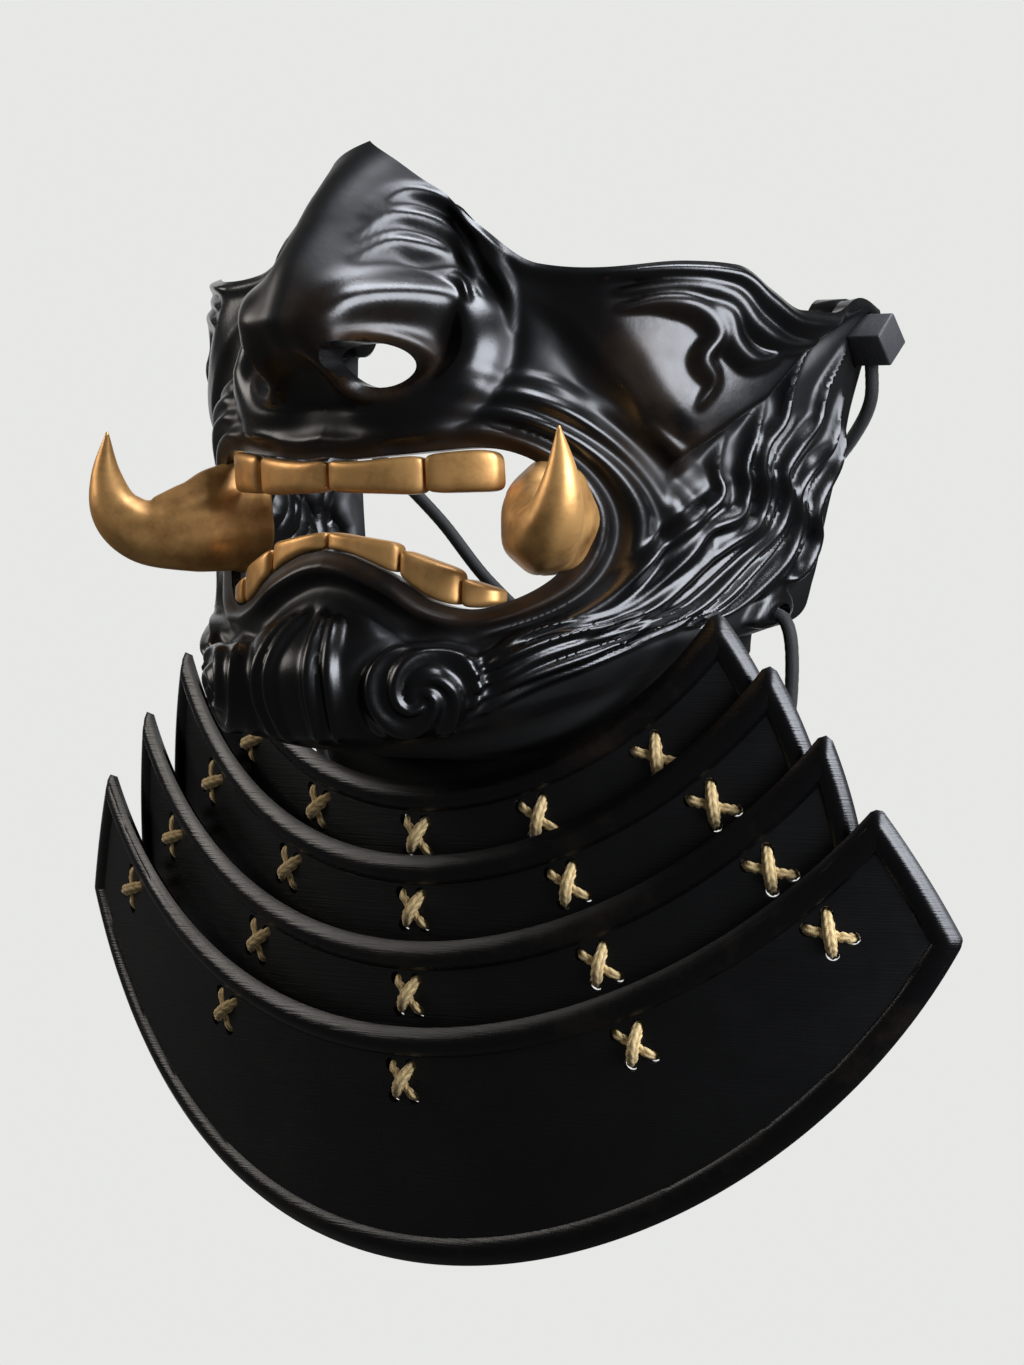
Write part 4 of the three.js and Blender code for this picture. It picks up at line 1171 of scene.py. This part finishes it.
# %% Floor
floor_level, floor_radius = -0.75, 2.5  # m
bm = bmesh.new()
bmesh.ops.create_circle(bm, cap_ends=True, segments=96, radius=floor_radius)
bmesh.ops.translate(bm, verts=bm.verts, vec=(0, 0, floor_level))
floor = loose_object("floor", bm)
paper = new_material("matt_paper", "#cecfcd", 0.95, Emission_Strength=0.55)
tone = blend(paper, noise(paper, 3, 2), "#d8d9d7", "#e0e1df")
surface(paper, Base_Color=tone, Emission_Color=tone)
finish_with(floor, paper)
floor.visible_diffuse = floor.visible_glossy = False
print("floor", round(2 * floor_radius, 1), "m across")

# %% Room
world = bpy.data.worlds.new("pale_room")
world.use_nodes = True
dim = world.node_tree.nodes["Background"]
feed(world, dim, "Color", colour("#f0f1f1"))
feed(world, dim, "Strength", 0.09)
seen = add_node(world, "Background", {"Color": colour("#e7e8e6")})
camera_ray = add_node(world, "LightPath", {}).outputs["Is Camera Ray"]
either = add_node(world, "MixShader", {0: camera_ray, 1: dim.outputs[0], 2: seen.outputs[0]})
feed(world, world.node_tree.nodes["World Output"], "Surface", either.outputs[0])
bpy.context.scene.world = world
bpy.context.scene.view_settings.view_transform = "Standard"
print("room lit at", round(dim.inputs["Strength"].default_value, 2))

# %% [markdown]
# Four soft lights. The key is on the wearer's left and the weak fill on the
# right. The crown light draws the tops of the folds, and a large one behind
# draws the far edge. None is seen itself.

# %% Lights
aim = Vector((0, -0.05, -0.08))


def soft_light(name, position, size, power, tint="#ffffff"):
    data = bpy.data.lights.new(name, "AREA")
    data.shape = "DISK"
    data.size = size
    data.energy = power
    data.color = colour(tint)[:3]
    light = bpy.data.objects.new(name, data)
    bpy.context.scene.collection.objects.link(light)
    light.location = position
    light.visible_camera = False
    light.rotation_euler = (aim - light.location).to_track_quat("-Z", "Y").to_euler()
    print(name, power, "W from", round((aim - light.location).length, 2), "m")


soft_light("key", (1.35, -0.1, 0.35), 1.0, 37, "#f0f5ff")
soft_light("fill", (-1.2, -0.7, 0.5), 0.8, 8, "#fff8f0")
soft_light("crown", (0.35, 0.2, 1.4), 0.7, 21, "#f0f5ff")
soft_light("behind", (-1.18, 1.62, 0.2), 2.4, 12)
